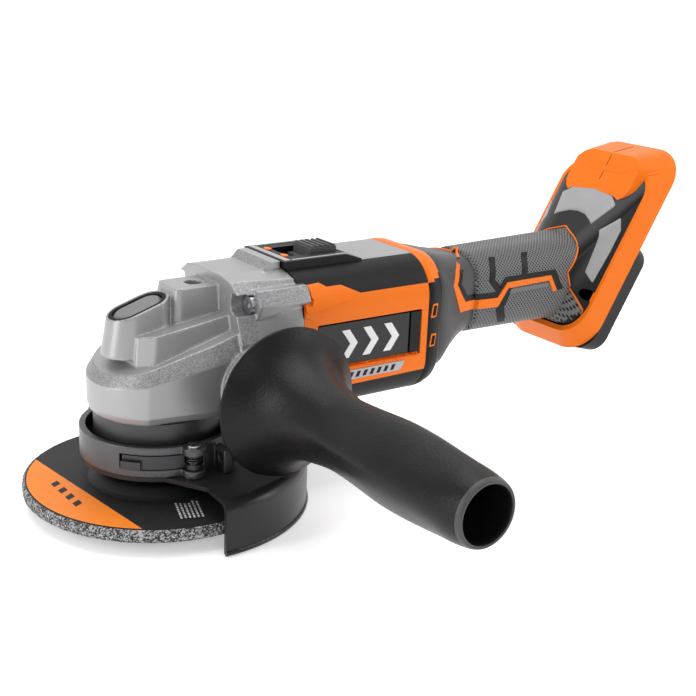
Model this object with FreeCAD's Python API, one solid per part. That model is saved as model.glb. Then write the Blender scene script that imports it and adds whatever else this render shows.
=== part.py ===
"""Cordless 125 mm angle grinder, bare tool, with its guard, grinding wheel and side handle fitted.

Frame, in millimetres: the origin is the free end of the spindle, on the spindle's axis. +Z runs up
the spindle into the gear case, +X runs back along the motor and the grip to the battery foot, and
the side handle stands out along -Y.
"""
import FreeCAD, Part
import os
from math import atan2, cos, hypot, pi, radians, sin, sqrt, tan

V = FreeCAD.Vector
X_AXIS = V(1, 0, 0)
Y_AXIS = V(0, 1, 0)
Z_AXIS = V(0, 0, 1)

# ---------------------------------------------------------------- driving dimensions
# clearances
RUN = 0.05                 # radial clearance of a shaft in its bearing
FREE = 0.4                 # gap between parts that move past each other
SEAT = 0.2                 # gap round an inner part in its seat

# grinding wheel, depressed centre
wheel_r = 62.5
wheel_t = 6.0
wheel_bore_r = 11.115
hub_t = 5.0                # thickness of the raised centre
hub_rise = 4.5             # how far the centre stands above the rim
hub_r = 32.2
hub_slope = 5.0
label_t = 0.3
label_edge = 1.4           # bare rim left outside the label
label_r = wheel_r - label_edge
bush_wall = 1.2

# spindle
thread_r = 7.0             # M14
thread_end_r = 5.8         # plain end below the thread, at its root
thread_end = 3.2           # its length
spindle_free = 3.5         # free end below the lock nut
nut_flange_r = 20.0
nut_t = 6.0
flange_r = 20.0
flange_t = 4.0
shoulder_r = 8.5
journal_r = 7.5            # in the lower bearing
top_journal_r = 4.0
gear_seat_r = 7.0

# bevel gears
gear_teeth = 38
pinion_teeth = 11
pinion_pitch_r = 6.5
tooth_face = 6.8
tooth_share = 0.385        # tooth thickness as a share of the pitch
tooth_tip = 0.8            # height of a tooth above the pitch cone, in modules
tooth_root = 1.2           # depth of the gap below it, in modules

# heights and stations
guard_drop = 2.0           # how far the guard hangs below the spindle's end
guard_plate_top = 22.9
neck_bottom = 20.5
case_bottom = 45.5
motor_z = 71.0             # motor axis
case_flange_x = 26.0
housing_x = 58.0           # where the metal case meets the plastic housing
housing_end_x = 132.0
neck_x = 166.0
grip_start_x = 176.0
grip_end_x = 244.0
grip_lean = 20.0           # lean of the grip's rear end from the vertical

# guard
wheel_gap = 8.0            # between the wheel's rim and the outside of the guard
guard_r = wheel_r + wheel_gap
guard_sheet = 2.0
guard_corner_r = 5.0
guard_bead_r = 1.2         # rolled edge
guard_half_angle = 93.0
guard_tip_x = -32.6        # apex of the plate's front edge
guard_edge_y = 51.6        # how far out that edge ends
collar_r = 36.0
collar_wall = 3.0
collar_top = 37.0
window_start = 215.0       # latch window, degrees round the collar
window_end = 261.0
latch_pivot = 268.0        # where the latch's pin stands
window_low = 26.5
window_high = 33.5

# bearing cover, which is also the neck that the guard turns on
neck_r = 29.6
lug_r = 31.4
lug_t = 1.2
lug_count = 3
lug_angle = 26.0
cover_screw_pcd_r = 26.3
cover_screw_r = 1.5
cover_screw_head_r = 2.8

# bearings: inner radius, outer radius, width
spindle_bearing = (journal_r, 16.0, 10.0)
motor_bearing = (4.0, 11.0, 7.0)
rear_bearing = (4.0, 9.5, 7.0)

# gear case
nose_r = 32.3
case_side_y = 28.0         # half width at the front corner
case_rear_y = 32.0         # half width at the rear
corner_x = -18.0
wall_slope = 0.194         # rise of the wall's top edge per millimetre back
wall_z = 67.5              # its height at the spindle
ledge_slope = 0.30
ledge_z = 74.8
ledge_inset = 3.5
step_slope = 0.153
step_z = 85.2
step_y = 21.0
step_front_x = -18.0
chamber_r = 27.5
tower_x = (-24.0, 5.0)
tower_y = 10.0
tower_tilt = 18.0
tower_z = 93.5             # height of the tilted rim at the button's centre
boss_x = (5.0, 34.0)
boss_y = 10.0
boss_top = 101.0
boss_hole_x = 18.6
m8_r = 4.0
m8_depth = 14.0

# spindle lock
button_x = -9.8
button_half = 11.3
button_r = 6.3
lock_pin_x = -12.4
lock_pin_r = 2.3
lock_travel = 6.0

# side handle
side_x = 34.0
side_z = 58.2
side_boss_r = 18.5
side_boss_y = 35.0
side_flange_r = 34.6
side_flange_y = 57.7
side_end_y = 191.0
side_end_r = 13.1
side_bore_r = 11.7
side_bore_depth = 95.0
side_neck_r = 15.2         # where the flange has run into the stem
side_belly_r = 18.4        # widest place of the stem
side_root_r = 16.5
washer_t = 2.0

# motor housing and its skins
housing_y = 33.5
housing_h = 35.5
housing_corner = 20.0
skin_t = 2.0
shell_t = 2.5

# motor
stator_r = 25.0
stator_bore_r = 14.6
stator_x = (64.0, 98.0)
rotor_r = 14.0
shaft_r = 4.0
pinion_seat_r = 2.6
fan_r = 27.0
fan_x = 43.0
fan_w = 10.0
rear_bearing_x = 104.0

# slide switch
frame_x = (56.5, 101.0)
frame_y = 18.0
frame_top = 110.0
slide_window_x = (65.0, 98.0)
slider_x = (78.0, 93.0)
slider_y = 8.0
switch_travel = 9.0

# handle and foot
handle_z = 78.0
grip_y = 19.5
grip_h = 21.5
grip_corner = 12.0
rubber_t = 2.0
foot_tilt = 31.0           # lean of the battery face from the vertical
foot_x = 247.0             # lowest corner of the battery face
foot_z = 39.0
foot_len = 126.0
foot_y = 35.0
foot_rim = 10.0
hood_t = 3.0
rail_len = 72.0
rail_depth = 10.5
rail_slot_y = 22.0
rail_lip = 4.0

# ---------------------------------------------------------------- worked-out sizes
hub_low = spindle_free + nut_t
hub_high = hub_low + hub_t
wheel_top = hub_high - hub_rise
wheel_bottom = wheel_top - wheel_t
flange_top = hub_high + flange_t
pitch_ratio = gear_teeth / pinion_teeth
gear_pitch_r = pinion_pitch_r * pitch_ratio
cone_len = hypot(gear_pitch_r, pinion_pitch_r)
bearing_low = 33.5
cover_screw_angles = (45, 135, 225, 315)


# ---------------------------------------------------------------- shape helpers
def rod(r, z0, z1, x=0.0, y=0.0):
    return Part.makeCylinder(r, z1 - z0, V(x, y, z0), Z_AXIS)


def rod_x(r, x0, x1, y=0.0, z=motor_z):
    return Part.makeCylinder(r, x1 - x0, V(x0, y, z), X_AXIS)


def rod_y(r, y0, y1, x, z):
    return Part.makeCylinder(r, y1 - y0, V(x, y0, z), Y_AXIS)


def block(x, y, z):
    return Part.makeBox(x[1] - x[0], y[1] - y[0], z[1] - z[0], V(x[0], y[0], z[0]))


def fuse(shapes):
    first = shapes[0]
    return first.multiFuse(shapes[1:]).removeSplitter() if len(shapes) > 1 else first


def turned(points, axis=Z_AXIS, centre=V(0, 0, 0)):
    """Solid of revolution; the points are (radius, distance along the axis)."""
    face = Part.Face(Part.makePolygon([V(r, 0, a) for r, a in points + points[:1]]))
    solid = face.revolve(V(0, 0, 0), Z_AXIS, 360)
    solid.Placement = FreeCAD.Placement(centre, FreeCAD.Rotation(Z_AXIS, axis))
    return solid


def at_angles(shape, angles, axis=Z_AXIS, centre=V(0, 0, 0)):
    copies = []
    for angle in angles:
        copy = shape.copy()
        copy.rotate(centre, axis, angle)
        copies.append(copy)
    return copies


def mirrored(shape):
    return shape.mirror(V(0, 0, 0), Y_AXIS)


def rounded_wire(place, half_u, half_v, corner):
    """Rounded rectangle; place(u, v) gives a point in space."""
    k = min(corner, half_u - 0.01, half_v - 0.01)
    bulge = k * (1 - sqrt(0.5))
    edges = []
    corners = [(1, 1), (-1, 1), (-1, -1), (1, -1)]
    ends = []
    for su, sv in corners:
        a = (su * half_u, sv * (half_v - k))
        b = (su * (half_u - k), sv * half_v)
        mid = (su * (half_u - bulge), sv * (half_v - bulge))
        if su * sv < 0:
            a, b = b, a
        ends.append((a, mid, b))
    for i, (a, mid, b) in enumerate(ends):
        edges.append(Part.Arc(place(*a), place(*mid), place(*b)).toShape())
        following = ends[(i + 1) % 4][0]
        edges.append(Part.LineSegment(place(*b), place(*following)).toShape())
    return Part.Wire(edges)


def section_x(x, half_y, half_z, corner, zc):
    return rounded_wire(lambda u, v: V(x, u, zc + v), half_y, half_z, corner)


def foot_point(s, n, y=0.0):
    """A point of the battery foot: s up along its face, n out of the face."""
    a = radians(foot_tilt)
    return V(foot_x + s * sin(a) + n * cos(a), y, foot_z + s * cos(a) - n * sin(a))


def section_foot(n, s0, s1, half_y, corner):
    middle = (s0 + s1) / 2
    return rounded_wire(lambda u, v: foot_point(middle + v, n, u), half_y, (s1 - s0) / 2, corner)


def foot_box(s, n, y):
    box = Part.makeBox(n[1] - n[0], y[1] - y[0], s[1] - s[0], V(n[0], y[0], s[0]))
    turn = FreeCAD.Rotation(Y_AXIS, foot_tilt)
    box.Placement = FreeCAD.Placement(V(foot_x, 0, foot_z), turn).multiply(box.Placement)
    return box


def loft(wires):
    return Part.makeLoft(wires, True, True)


def half_space(side):
    return block((-300, 500), (0, 300) if side > 0 else (-300, 0), (-200, 400))


parts = {}


# ---------------------------------------------------------------- wheel and spindle
def grinding_wheel():
    """Type 27 wheel: flat rim, centre raised towards the tool, recessed underneath."""
    foot = hub_r
    top = hub_r - hub_slope
    outline = [
        (wheel_bore_r + bush_wall, hub_low),
        (top - hub_t, hub_low),
        (foot - hub_t, wheel_bottom),
        (wheel_r - 1, wheel_bottom),
        (wheel_r, wheel_bottom + 1),
        (wheel_r, wheel_top - 1),
        (wheel_r - 1, wheel_top),
        (foot, wheel_top),
        (top, hub_high),
        (wheel_bore_r + bush_wall, hub_high),
    ]
    return turned(outline)


def wheel_label():
    return rod(label_r, wheel_top, wheel_top + label_t).cut(
        rod(hub_r + FREE, wheel_top - 1, wheel_top + 1))


def wheel_bush():
    return rod(wheel_bore_r + bush_wall, hub_low, hub_high).cut(
        rod(wheel_bore_r, hub_low - 1, hub_high + 1))


def lock_nut():
    """Round nut with a pilot in the wheel's bore and four pin-spanner holes."""
    nut = rod(nut_flange_r, hub_low - nut_t + 1, hub_low).fuse(rod(14.0, hub_low - nut_t, hub_low))
    holes = at_angles(rod(2.6, hub_low - nut_t - 1, hub_low - 1.5, 17.0), range(0, 360, 90))
    return nut.cut(fuse(holes + [rod(thread_r, -5, hub_high)]))


def inner_flange():
    """Clamping flange with a pilot for the wheel's bore, seated on the spindle's shoulder."""
    pilot = rod(wheel_bore_r - RUN, hub_high - hub_t + 1, hub_high)
    disc = turned([(0, hub_high), (flange_r, hub_high), (flange_r, hub_high + 2),
                   (flange_r - 3, flange_top), (0, flange_top)])
    relief = turned([(wheel_bore_r + 0.5, hub_high - 0.1), (flange_r - 6, hub_high - 0.1),
                     (flange_r - 6, hub_high + 0.8), (wheel_bore_r + 0.5, hub_high + 0.8)])
    return disc.fuse(pilot).cut(relief).cut(rod(thread_r, 0, 40))


ring_back_z = motor_z - pinion_pitch_r - 10.0
ring_web_z = ring_back_z + 6.5
gear_bore_low = bearing_low + spindle_bearing[2]
spindle_top = 79.2


def spindle():
    """Threaded end, shoulder, bearing journal, gear seat and top journal in one turned shaft."""
    return turned([
        (0, 0), (thread_end_r, 0), (thread_end_r, thread_end), (thread_r, thread_end),
        (thread_r, flange_top),
        (shoulder_r, flange_top), (shoulder_r, bearing_low), (journal_r, bearing_low),
        (journal_r, gear_bore_low), (gear_seat_r, gear_bore_low), (gear_seat_r, ring_web_z + 2.2),
        (top_journal_r, ring_web_z + 2.2), (top_journal_r, spindle_top), (0, spindle_top)])


def flat_faced(near, far):
    """Solid between two polygons whose side faces are flat."""
    count = len(near)
    outlines = [near, far]
    for i in range(count):
        j = (i + 1) % count
        outlines.append([near[i], near[j], far[j], far[i]])
    faces = [Part.Face(Part.makePolygon(points + points[:1])) for points in outlines]
    solid = Part.makeSolid(Part.makeShell(faces))
    if solid.Volume < 0:
        solid.reverse()
    return solid


def bevel_tooth(along, out, across):
    """One tapered tooth whose edges all meet at the gears' common apex (0, 0, motor_z)."""
    apex = V(0, 0, motor_z)
    module = 2 * gear_pitch_r / gear_teeth
    rings = []
    for s in (cone_len - tooth_face, cone_len):
        k = s / cone_len
        half = tooth_width * k / 2
        low = -(tooth_root + 0.5) * module * k
        high = tooth_tip * module * k
        slope = tan(radians(20))
        corners = []
        for side, h in ((-1, low), (1, low), (1, high), (-1, high)):
            width = half - h * slope
            corners.append(apex + along * s + out * h + across * (side * width))
        rings.append(corners)
    return flat_faced(*rings)


def gear_cone(angle):
    """Directions along, out of and across the pitch cone where the two gears meet."""
    return V(sin(angle), 0, -cos(angle)), V(cos(angle), 0, sin(angle)), Y_AXIS


cone_angle = atan2(gear_pitch_r, pinion_pitch_r)
tooth_width = 2 * pi * gear_pitch_r / gear_teeth * tooth_share


def ring_gear():
    """Bevel gear keyed on the spindle, teeth upwards, with four holes for the lock pin."""
    along, out, across = gear_cone(cone_angle)
    module = 2 * gear_pitch_r / gear_teeth
    root = tooth_root * module
    apex = V(0, 0, motor_z)
    heel = apex + along * cone_len - out * root
    toe_share = (cone_len - tooth_face) / cone_len
    toe = apex + along * (cone_len - tooth_face) - out * root * toe_share
    rim = heel.x + 0.7
    throat = toe.x - 0.3
    blank = turned([
        (gear_seat_r, ring_back_z), (rim - 2, ring_back_z), (rim, heel.z - 2.5),
        (rim, heel.z - 0.2), (throat, toe.z + 0.1), (throat - 0.3, ring_web_z),
        (gear_seat_r + 2.4, ring_web_z),
        (gear_seat_r + 2.4, ring_web_z + 1.6), (gear_seat_r, ring_web_z + 1.6)])
    neck = rod(gear_seat_r + 2.4, gear_bore_low + 0.3, ring_back_z + 0.1)
    neck = neck.cut(rod(gear_seat_r, gear_bore_low, ring_back_z + 1))
    step = 360.0 / gear_teeth
    tooth = bevel_tooth(along, out, across)
    teeth = at_angles(tooth, [step * (i + 0.5) for i in range(gear_teeth)])
    holes = at_angles(rod(lock_pin_r + FREE, ring_back_z + 0.5, ring_web_z + 1, lock_pin_x),
                      range(0, 360, 90))
    return blank.fuse(neck).multiFuse(teeth).cut(fuse(holes))


pinion_back_x = 27.2


def pinion():
    """Small bevel gear pressed on the front of the motor shaft."""
    apex = V(0, 0, motor_z)
    along, out, across = gear_cone(cone_angle)
    module = 2 * gear_pitch_r / gear_teeth
    root = tooth_root * module
    heel = apex + along * cone_len + out * root
    toe_share = (cone_len - tooth_face) / cone_len
    toe = apex + along * (cone_len - tooth_face) + out * root * toe_share
    blank = turned([
        (pinion_seat_r, toe.x), (motor_z - toe.z, toe.x), (motor_z - heel.z, heel.x),
        (motor_z - heel.z, pinion_back_x), (pinion_seat_r, pinion_back_x)],
        X_AXIS, V(0, 0, motor_z))
    tooth = bevel_tooth(along, out * -1, across)
    step = 360.0 / pinion_teeth
    teeth = at_angles(tooth, [step * i for i in range(pinion_teeth)], X_AXIS, apex)
    return fuse([blank] + teeth)


def bearing_ring(inner, outer, low, groove_r, ball_r, width):
    ring = rod(outer, low, low + width).cut(rod(inner, low - 1, low + width + 1))
    groove = Part.makeTorus(groove_r, ball_r + RUN, V(0, 0, low + width / 2), Z_AXIS)
    return ring.cut(groove)


def spindle_bearing_rings():
    """Outer ring with its balls, and the inner ring that turns on the spindle."""
    bore, outside, width = spindle_bearing
    ball_r = (outside - bore) / 4.2
    middle = (outside + bore) / 2
    land = ball_r * 0.62
    outer = bearing_ring(middle + land, outside, bearing_low, middle, ball_r, width)
    inner = bearing_ring(bore, middle - land, bearing_low, middle, ball_r, width)
    ball = Part.makeSphere(ball_r, V(middle, 0, bearing_low + width / 2))
    balls = at_angles(ball, range(0, 360, 40))
    return Part.makeCompound([outer] + balls), inner


parts["grinding_wheel"] = grinding_wheel()
parts["wheel_label"] = wheel_label()
parts["wheel_bush"] = wheel_bush()
parts["lock_nut"] = lock_nut()
parts["inner_flange"] = inner_flange()
parts["spindle"] = spindle()
parts["ring_gear"] = ring_gear()
parts["pinion"] = pinion()
parts["spindle_bearing_outer"], parts["spindle_bearing_inner"] = spindle_bearing_rings()


# ---------------------------------------------------------------- guard and its latch
collar_floor_z = guard_plate_top
collar_inner_r = collar_r - collar_wall
guard_bore_r = neck_r + FREE
notch_offset = 60.0


def bayonet_notches(z0, z1):
    """Gaps in the guard's bore that let it past the neck's lugs when it is turned to them."""
    angles = [notch_offset + i * 360.0 / lug_count for i in range(lug_count)]
    wedge = sector(lug_r + FREE, z0, z1, -lug_angle / 2 - 2, lug_angle / 2 + 2)
    return at_angles(wedge, angles)


def sector(r, z0, z1, start, end):
    disc = Part.makeCylinder(r, z1 - z0, V(0, 0, z0), Z_AXIS, end - start)
    disc.rotate(V(0, 0, 0), Z_AXIS, start)
    return disc


def guard_plan(r, z0, z1):
    """Outline from above: a disc cut off in front, where the wheel is open."""
    far = r + 5
    lean = tan(radians(guard_half_angle - 90))
    edge = [V(guard_tip_x, 0, z0), V(-guard_edge_y * lean, -guard_edge_y, z0),
            V(-far * lean, -far, z0), V(far, -far, z0), V(far, far, z0), V(-far * lean, far, z0),
            V(-guard_edge_y * lean, guard_edge_y, z0), V(guard_tip_x, 0, z0)]
    prism = Part.Face(Part.makePolygon(edge)).extrude(V(0, 0, z1 - z0))
    return prism.common(rod(r, z0, z1)).fuse(rod(collar_r - 0.5, z0, z1))


def guard_shell():
    """Pressed steel: plate, rounded shoulder and skirt, open towards the front of the wheel."""
    plate_low = guard_plate_top - guard_sheet
    k = guard_corner_r
    skirt_low = guard_bead_r / 2 - guard_drop
    outer = rod(guard_r, skirt_low, guard_plate_top)
    rim = [e for e in outer.Edges if abs(e.CenterOfMass.z - guard_plate_top) < 0.01 and e.Closed]
    outer = outer.makeFillet(k, rim)
    inner = rod(guard_r - guard_sheet, -guard_drop - 1, plate_low)
    rim = [e for e in inner.Edges if abs(e.CenterOfMass.z - plate_low) < 0.01 and e.Closed]
    inner = inner.makeFillet(k - guard_sheet, rim)
    bead = Part.makeTorus(guard_r - guard_bead_r / 3, guard_bead_r,
                          V(0, 0, guard_bead_r - guard_drop), Z_AXIS)
    pan = outer.cut(inner).fuse(bead).common(guard_plan(guard_r + 2, -10, 60))
    return pan.cut(rod(guard_bore_r, 0, 60)).cut(fuse(bayonet_notches(0, 60)))


latch_pin_r = 2.0
latch_r = collar_r + 1.3           # where the latch's pin stands
latch_at = (latch_r * cos(radians(latch_pivot)), latch_r * sin(radians(latch_pivot)))


def guard_collar():
    """Ring welded on the guard, with the latch's window and the lugs that hold its pin."""
    ring = rod(collar_r, collar_floor_z, collar_top).cut(
        rod(collar_inner_r, collar_floor_z + 3, collar_top + 1))
    ring = ring.cut(rod(guard_bore_r, 0, 60))
    inner_notches = bayonet_notches(0, 60)
    lugs = rod(5.2, window_high, collar_top, *latch_at)
    lugs = lugs.fuse(rod(5.2, collar_floor_z, window_low, *latch_at))
    lugs = lugs.cut(rod(collar_inner_r, 0, 60))
    window = sector(collar_r + 9, window_low, window_high, window_start, latch_pivot + 9)
    window = window.cut(rod(collar_inner_r - 2, 0, 60))
    ear = block((11, 15), (-43, -30), (collar_floor_z, collar_top - 3)).cut(
        rod(collar_inner_r, 0, 60))
    ear_hole = rod_x(2.0, 5, 20, -39.5, (collar_floor_z + collar_top) / 2)
    ring = ring.cut(window).fuse(lugs).fuse(ear.cut(ear_hole))
    return ring.cut(fuse(inner_notches)).cut(rod(latch_pin_r, 0, 60, *latch_at))


def guard_latch():
    """Bent steel lever in the collar's window, turning on its pin, with a locking tooth."""
    low = window_low + FREE
    high = window_high - FREE
    arm = sector(collar_r - 0.3, low, high, window_start + 2, latch_pivot)
    arm = arm.cut(rod(collar_inner_r + 0.7, low - 1, high + 1))
    step = sector(collar_r + 1.5, low, high - 2.4, window_start + 2, window_start + 16)
    step = step.cut(rod(collar_inner_r + 0.7, low - 1, high + 1))
    eye = rod(latch_pin_r + 1.6, low, low + 2.2, *latch_at)
    tooth = sector(neck_r + 3.4, low, low + 2.2, latch_pivot - 6, latch_pivot + 1)
    tooth = tooth.cut(rod(neck_r + FREE, 0, 60))
    spoke = sector(collar_r + 0.5, low, low + 2.2, latch_pivot - 5, latch_pivot + 1)
    spoke = spoke.cut(rod(neck_r + 3.0, 0, 60))
    lever = fuse([arm, step, eye, tooth, spoke])
    clear_above = rod(latch_pin_r + 2.2, low + 2.2, high + 1, *latch_at)
    return lever.cut(clear_above).cut(rod(latch_pin_r + RUN, 0, 60, *latch_at))


def latch_pin():
    head = rod(latch_pin_r + 1.2, collar_top, collar_top + 1.0, *latch_at)
    return rod(latch_pin_r, collar_floor_z + 0.1, collar_top, *latch_at).fuse(head)


def coil(wire_r, coil_r, z0, z1, turns, x, y):
    """Helical spring as stacked rings joined in one helix."""
    pitch = (z1 - z0 - 2 * wire_r) / turns
    path = Part.makeHelix(pitch, z1 - z0 - 2 * wire_r, coil_r)
    profile = Part.Wire(Part.makeCircle(wire_r, V(coil_r, 0, 0), Y_AXIS))
    spring = Part.Wire(path).makePipeShell([profile], True, True)
    spring.translate(V(x, y, z0 + wire_r))
    return spring


def latch_spring():
    low = window_low + FREE + 2.2 + 0.1
    return coil(0.45, latch_pin_r + 0.9, low, window_high - 0.1, 3, *latch_at)


parts["guard_shell"] = guard_shell()
parts["guard_collar"] = guard_collar()
parts["guard_latch"] = guard_latch()
parts["latch_pin"] = latch_pin()
parts["latch_spring"] = latch_spring()


# ---------------------------------------------------------------- bearing cover and its screws
def ring_of(shape, angles=cover_screw_angles):
    return fuse(at_angles(shape, angles))


def bearing_cover():
    """Die-cast cover: the guard's neck outside, the lower bearing's seat inside."""
    spigot_z = case_bottom + 2.0
    body = rod(neck_r, neck_bottom - lug_t, case_bottom)
    body = body.fuse(rod(chamber_r - SEAT, case_bottom, spigot_z))
    lugs = at_angles(sector(lug_r, neck_bottom - lug_t, neck_bottom, -lug_angle / 2, lug_angle / 2),
                     [i * 360.0 / lug_count for i in range(lug_count)])
    body = fuse([body] + lugs)
    body = body.cut(rod(spindle_bearing[1], bearing_low, 60))
    body = body.cut(rod(shoulder_r + 1.5, 0, 60))
    body = body.cut(rod(flange_r + 1.5, 0, neck_bottom + 1.5))
    hollow = rod(neck_r - 8.5, neck_bottom + 4, bearing_low - 3).cut(rod(shoulder_r + 4.5, 0, 60))
    shank = rod(cover_screw_r, 0, 60, cover_screw_pcd_r)
    head = rod(cover_screw_head_r + 0.15, 0, neck_bottom + 10, cover_screw_pcd_r)
    lift = rod(4.0, case_bottom, 60, cover_screw_pcd_r)
    return body.cut(hollow).cut(ring_of(shank)).cut(ring_of(head)).cut(ring_of(lift))


def cover_screws():
    low = neck_bottom + 7
    screw = rod(cover_screw_r, low + 3, case_bottom + 9, cover_screw_pcd_r)
    head = rod(cover_screw_head_r, low, low + 3, cover_screw_pcd_r)
    socket = Part.Face(Part.makePolygon([
        V(cover_screw_pcd_r + 1.3 * cos(radians(a)), 1.3 * sin(radians(a)), low - 1)
        for a in range(0, 361, 60)])).extrude(V(0, 0, 2.6))
    return Part.makeCompound(at_angles(screw.fuse(head).cut(socket), cover_screw_angles))


parts["bearing_cover"] = bearing_cover()
parts["cover_screws"] = cover_screws()


# ---------------------------------------------------------------- gear case
bush_wall_t = 2.0
bush_low = spindle_top - 7.0
well_floor_z = 81.0
bearing_seat_x = 28.5
fan_chamber_x = 40.0
fan_chamber_r = fan_r + 1.5
screw_r = 2.0
screw_head_r = 4.0
case_screw_x = 35.0
case_screw_end = 74.0
case_screw_at = [(25.8, 94.8), (-25.8, 94.8), (-23.5, 47.5), (23.5, 47.5)]
hex_r = 7.6
hex_end_x = 62.0


def case_ring(inset, slope, height):
    """Plan outline of the nose and sides on a plane that rises by slope along X."""
    def at(x, y):
        return V(x, y, height + slope * x)
    r = nose_r - inset
    x = corner_x + 0.4 * inset
    y = sqrt(r * r - x * x)
    rear = case_rear_y - inset
    back = case_flange_x + 4
    nose = Part.Arc(at(x, y), at(-r, 0), at(x, -y)).toShape()
    sides = Part.makePolygon([at(x, -y), at(14, -rear), at(back, -rear), at(back, rear),
                              at(14, rear), at(x, y)])
    return Part.Wire([nose] + sides.Edges)


def step_ring(inset, slope, height):
    def at(x, y):
        return V(x, y, height + slope * x)
    front = step_front_x + inset
    side = step_y - inset
    half = [at(front, -side + 7), at(front + 6, -side), at(case_flange_x + 4, -side - 1)]
    other = [V(p.x, -p.y, p.z) for p in reversed(half)]
    return Part.makePolygon(half + other + half[:1])


def stadium(x0, x1, half_y, place):
    """Oval with round ends from x0 to x1; place(x, y) gives a point in space."""
    a = x0 + half_y
    b = x1 - half_y
    return Part.Wire([
        Part.Arc(place(a, half_y), place(x0, 0), place(a, -half_y)).toShape(),
        Part.LineSegment(place(a, -half_y), place(b, -half_y)).toShape(),
        Part.Arc(place(b, -half_y), place(x1, 0), place(b, half_y)).toShape(),
        Part.LineSegment(place(b, half_y), place(a, half_y)).toShape()])


def tower_plane(drop):
    rise = tan(radians(tower_tilt))
    return lambda x, y: V(x, y, tower_z - drop + rise * (x - button_x))


def bell_ring(x, half):
    """Faceted section of the case's rear bell from its right-hand half outline."""
    points = [V(x, y, z) for y, z in half] + [V(x, -y, z) for y, z in reversed(half)]
    return Part.makePolygon(points + points[:1])


def bell():
    top = motor_z + housing_h
    front = [(12, top - 0.5), (20, top - 2), (27, top - 6.5), (27, top - 16.5),
             (case_rear_y, top - 28.5), (case_rear_y, case_bottom + 6), (26, case_bottom)]
    rear = [(14, top), (24, top - 3), (31, top - 10.5), (housing_y, top - 20),
            (housing_y, top - 30), (housing_y, motor_z - 19), (20, motor_z - housing_h + 1)]
    return loft([bell_ring(case_flange_x, front), bell_ring(housing_x, rear)])


def hexagon_rod(r, x0, x1, y, z):
    points = [V(x0, y + r * cos(radians(a)), z + r * sin(radians(a))) for a in range(0, 360, 60)]
    return Part.Face(Part.makePolygon(points + points[:1])).extrude(V(x1 - x0, 0, 0))


def case_outside():
    top = motor_z + housing_h
    nose = loft([case_ring(1.2, 0, case_bottom), case_ring(0, 0, case_bottom + 3.5),
                 case_ring(0, wall_slope, wall_z), case_ring(ledge_inset, ledge_slope, ledge_z)])
    step = loft([step_ring(0, ledge_slope, ledge_z - 1), step_ring(2, step_slope, step_z)])
    tower = loft([stadium(tower_x[0] - 3, tower_x[1] + 2, tower_y + 2, lambda x, y: V(x, y, 72)),
                  stadium(*tower_x, tower_y, tower_plane(0))])
    boss = loft([
        rounded_wire(lambda u, v: V((boss_x[0] + boss_x[1]) / 2 + u, v, 84), 17, boss_y + 2, 4),
        rounded_wire(lambda u, v: V((boss_x[0] + boss_x[1]) / 2 + u, v, boss_top),
                     (boss_x[1] - boss_x[0]) / 2, boss_y, 3)])
    lip_side = Part.makePolygon([V(44, -15, top - 3), V(51, -15, frame_top), V(56, -15, frame_top),
                                 V(56, -15, top - 3), V(44, -15, top - 3)])
    lip = Part.Face(lip_side).extrude(V(0, 30, 0))
    side_bosses = [rod_y(side_boss_r, y, y + 8, side_x, side_z)
                   for y in (side_boss_y - 8, -side_boss_y)]
    hexes = [hexagon_rod(hex_r, case_screw_x, hex_end_x, y, z) for y, z in case_screw_at]
    return fuse([nose, step, tower, boss, bell(), lip] + side_bosses + hexes)


def case_hollows():
    """Gear chamber, bearing seats, spindle lock well, fan chamber and the threaded holes."""
    chamber = turned([(0, 30), (chamber_r, 30), (chamber_r, 57), (24.4, 65.8), (20.5, 67.6),
                      (0, 67.6)])
    posts = ring_of(rod(cover_screw_head_r, case_bottom + 2, 60, cover_screw_pcd_r))
    chamber = chamber.cut(posts)
    above = turned([(0, 60), (18, 60), (12.5, 72), (0, 72)])
    above = above.common(block((-5, 40), (-20, 20), (50, 90)))
    pinion_room = rod_x(9.4, 12.6, bearing_seat_x + 1)
    bush_boss = rod(top_journal_r + 2 * bush_wall_t + 0.3, bush_low, 90)
    inside = fuse([chamber, above.cut(bush_boss), pinion_room.cut(bush_boss)])
    inside = inside.fuse(rod(top_journal_r + 1, 60, bush_low + 1))
    bush = rod(top_journal_r + bush_wall_t, bush_low, spindle_top)
    bearing = rod_x(motor_bearing[1], bearing_seat_x, fan_chamber_x + 1)
    fan_room = rod_x(fan_chamber_r, fan_chamber_x, housing_x + 10)
    guide = rod(lock_pin_r + RUN, 60, 90, lock_pin_x)
    well = loft([stadium(button_x - button_half - FREE, button_x + button_half + FREE,
                         button_r + FREE, lambda x, y: V(x, y, z))
                 for z in (well_floor_z, 120)])
    seal = loft([stadium(button_x - button_half - 2, button_x + button_half + 2, button_r + 2,
                         tower_plane(drop)) for drop in (1.6, -30)])
    holes = [rod(m8_r, boss_top - m8_depth, 120, boss_hole_x)]
    holes += [rod_y(m8_r, -60, -side_boss_y + m8_depth, side_x, side_z)]
    holes += [rod_y(m8_r, side_boss_y - m8_depth, 60, side_x, side_z)]
    for y, z in case_screw_at:
        holes.append(rod_x(screw_r, 20, 80, y, z))
        holes.append(rod_x(screw_head_r + 0.8, 10, case_screw_x, y, z))
    for side in (-1, 1):
        for z in (61.0, 68.0, 75.0):
            holes.append(block((42, 55), (side * 31 - 5, side * 31 + 5), (z, z + 3.2)))
        for z in (92.5, 97.2):
            holes.append(block((25, 31), (side * 26 - 4, side * 26 + 4), (z, z + 2.6)))
    cover_holes = ring_of(rod(cover_screw_r, 40, case_bottom + 9.5, cover_screw_pcd_r))
    return [inside, bush, bearing, fan_room, guide, well, seal, cover_holes] + holes


def gear_case():
    solid = case_outside()
    for hollow in case_hollows() + [rod(neck_r + RUN, 0, case_bottom)]:
        solid = solid.cut(hollow)
    return solid


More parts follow.
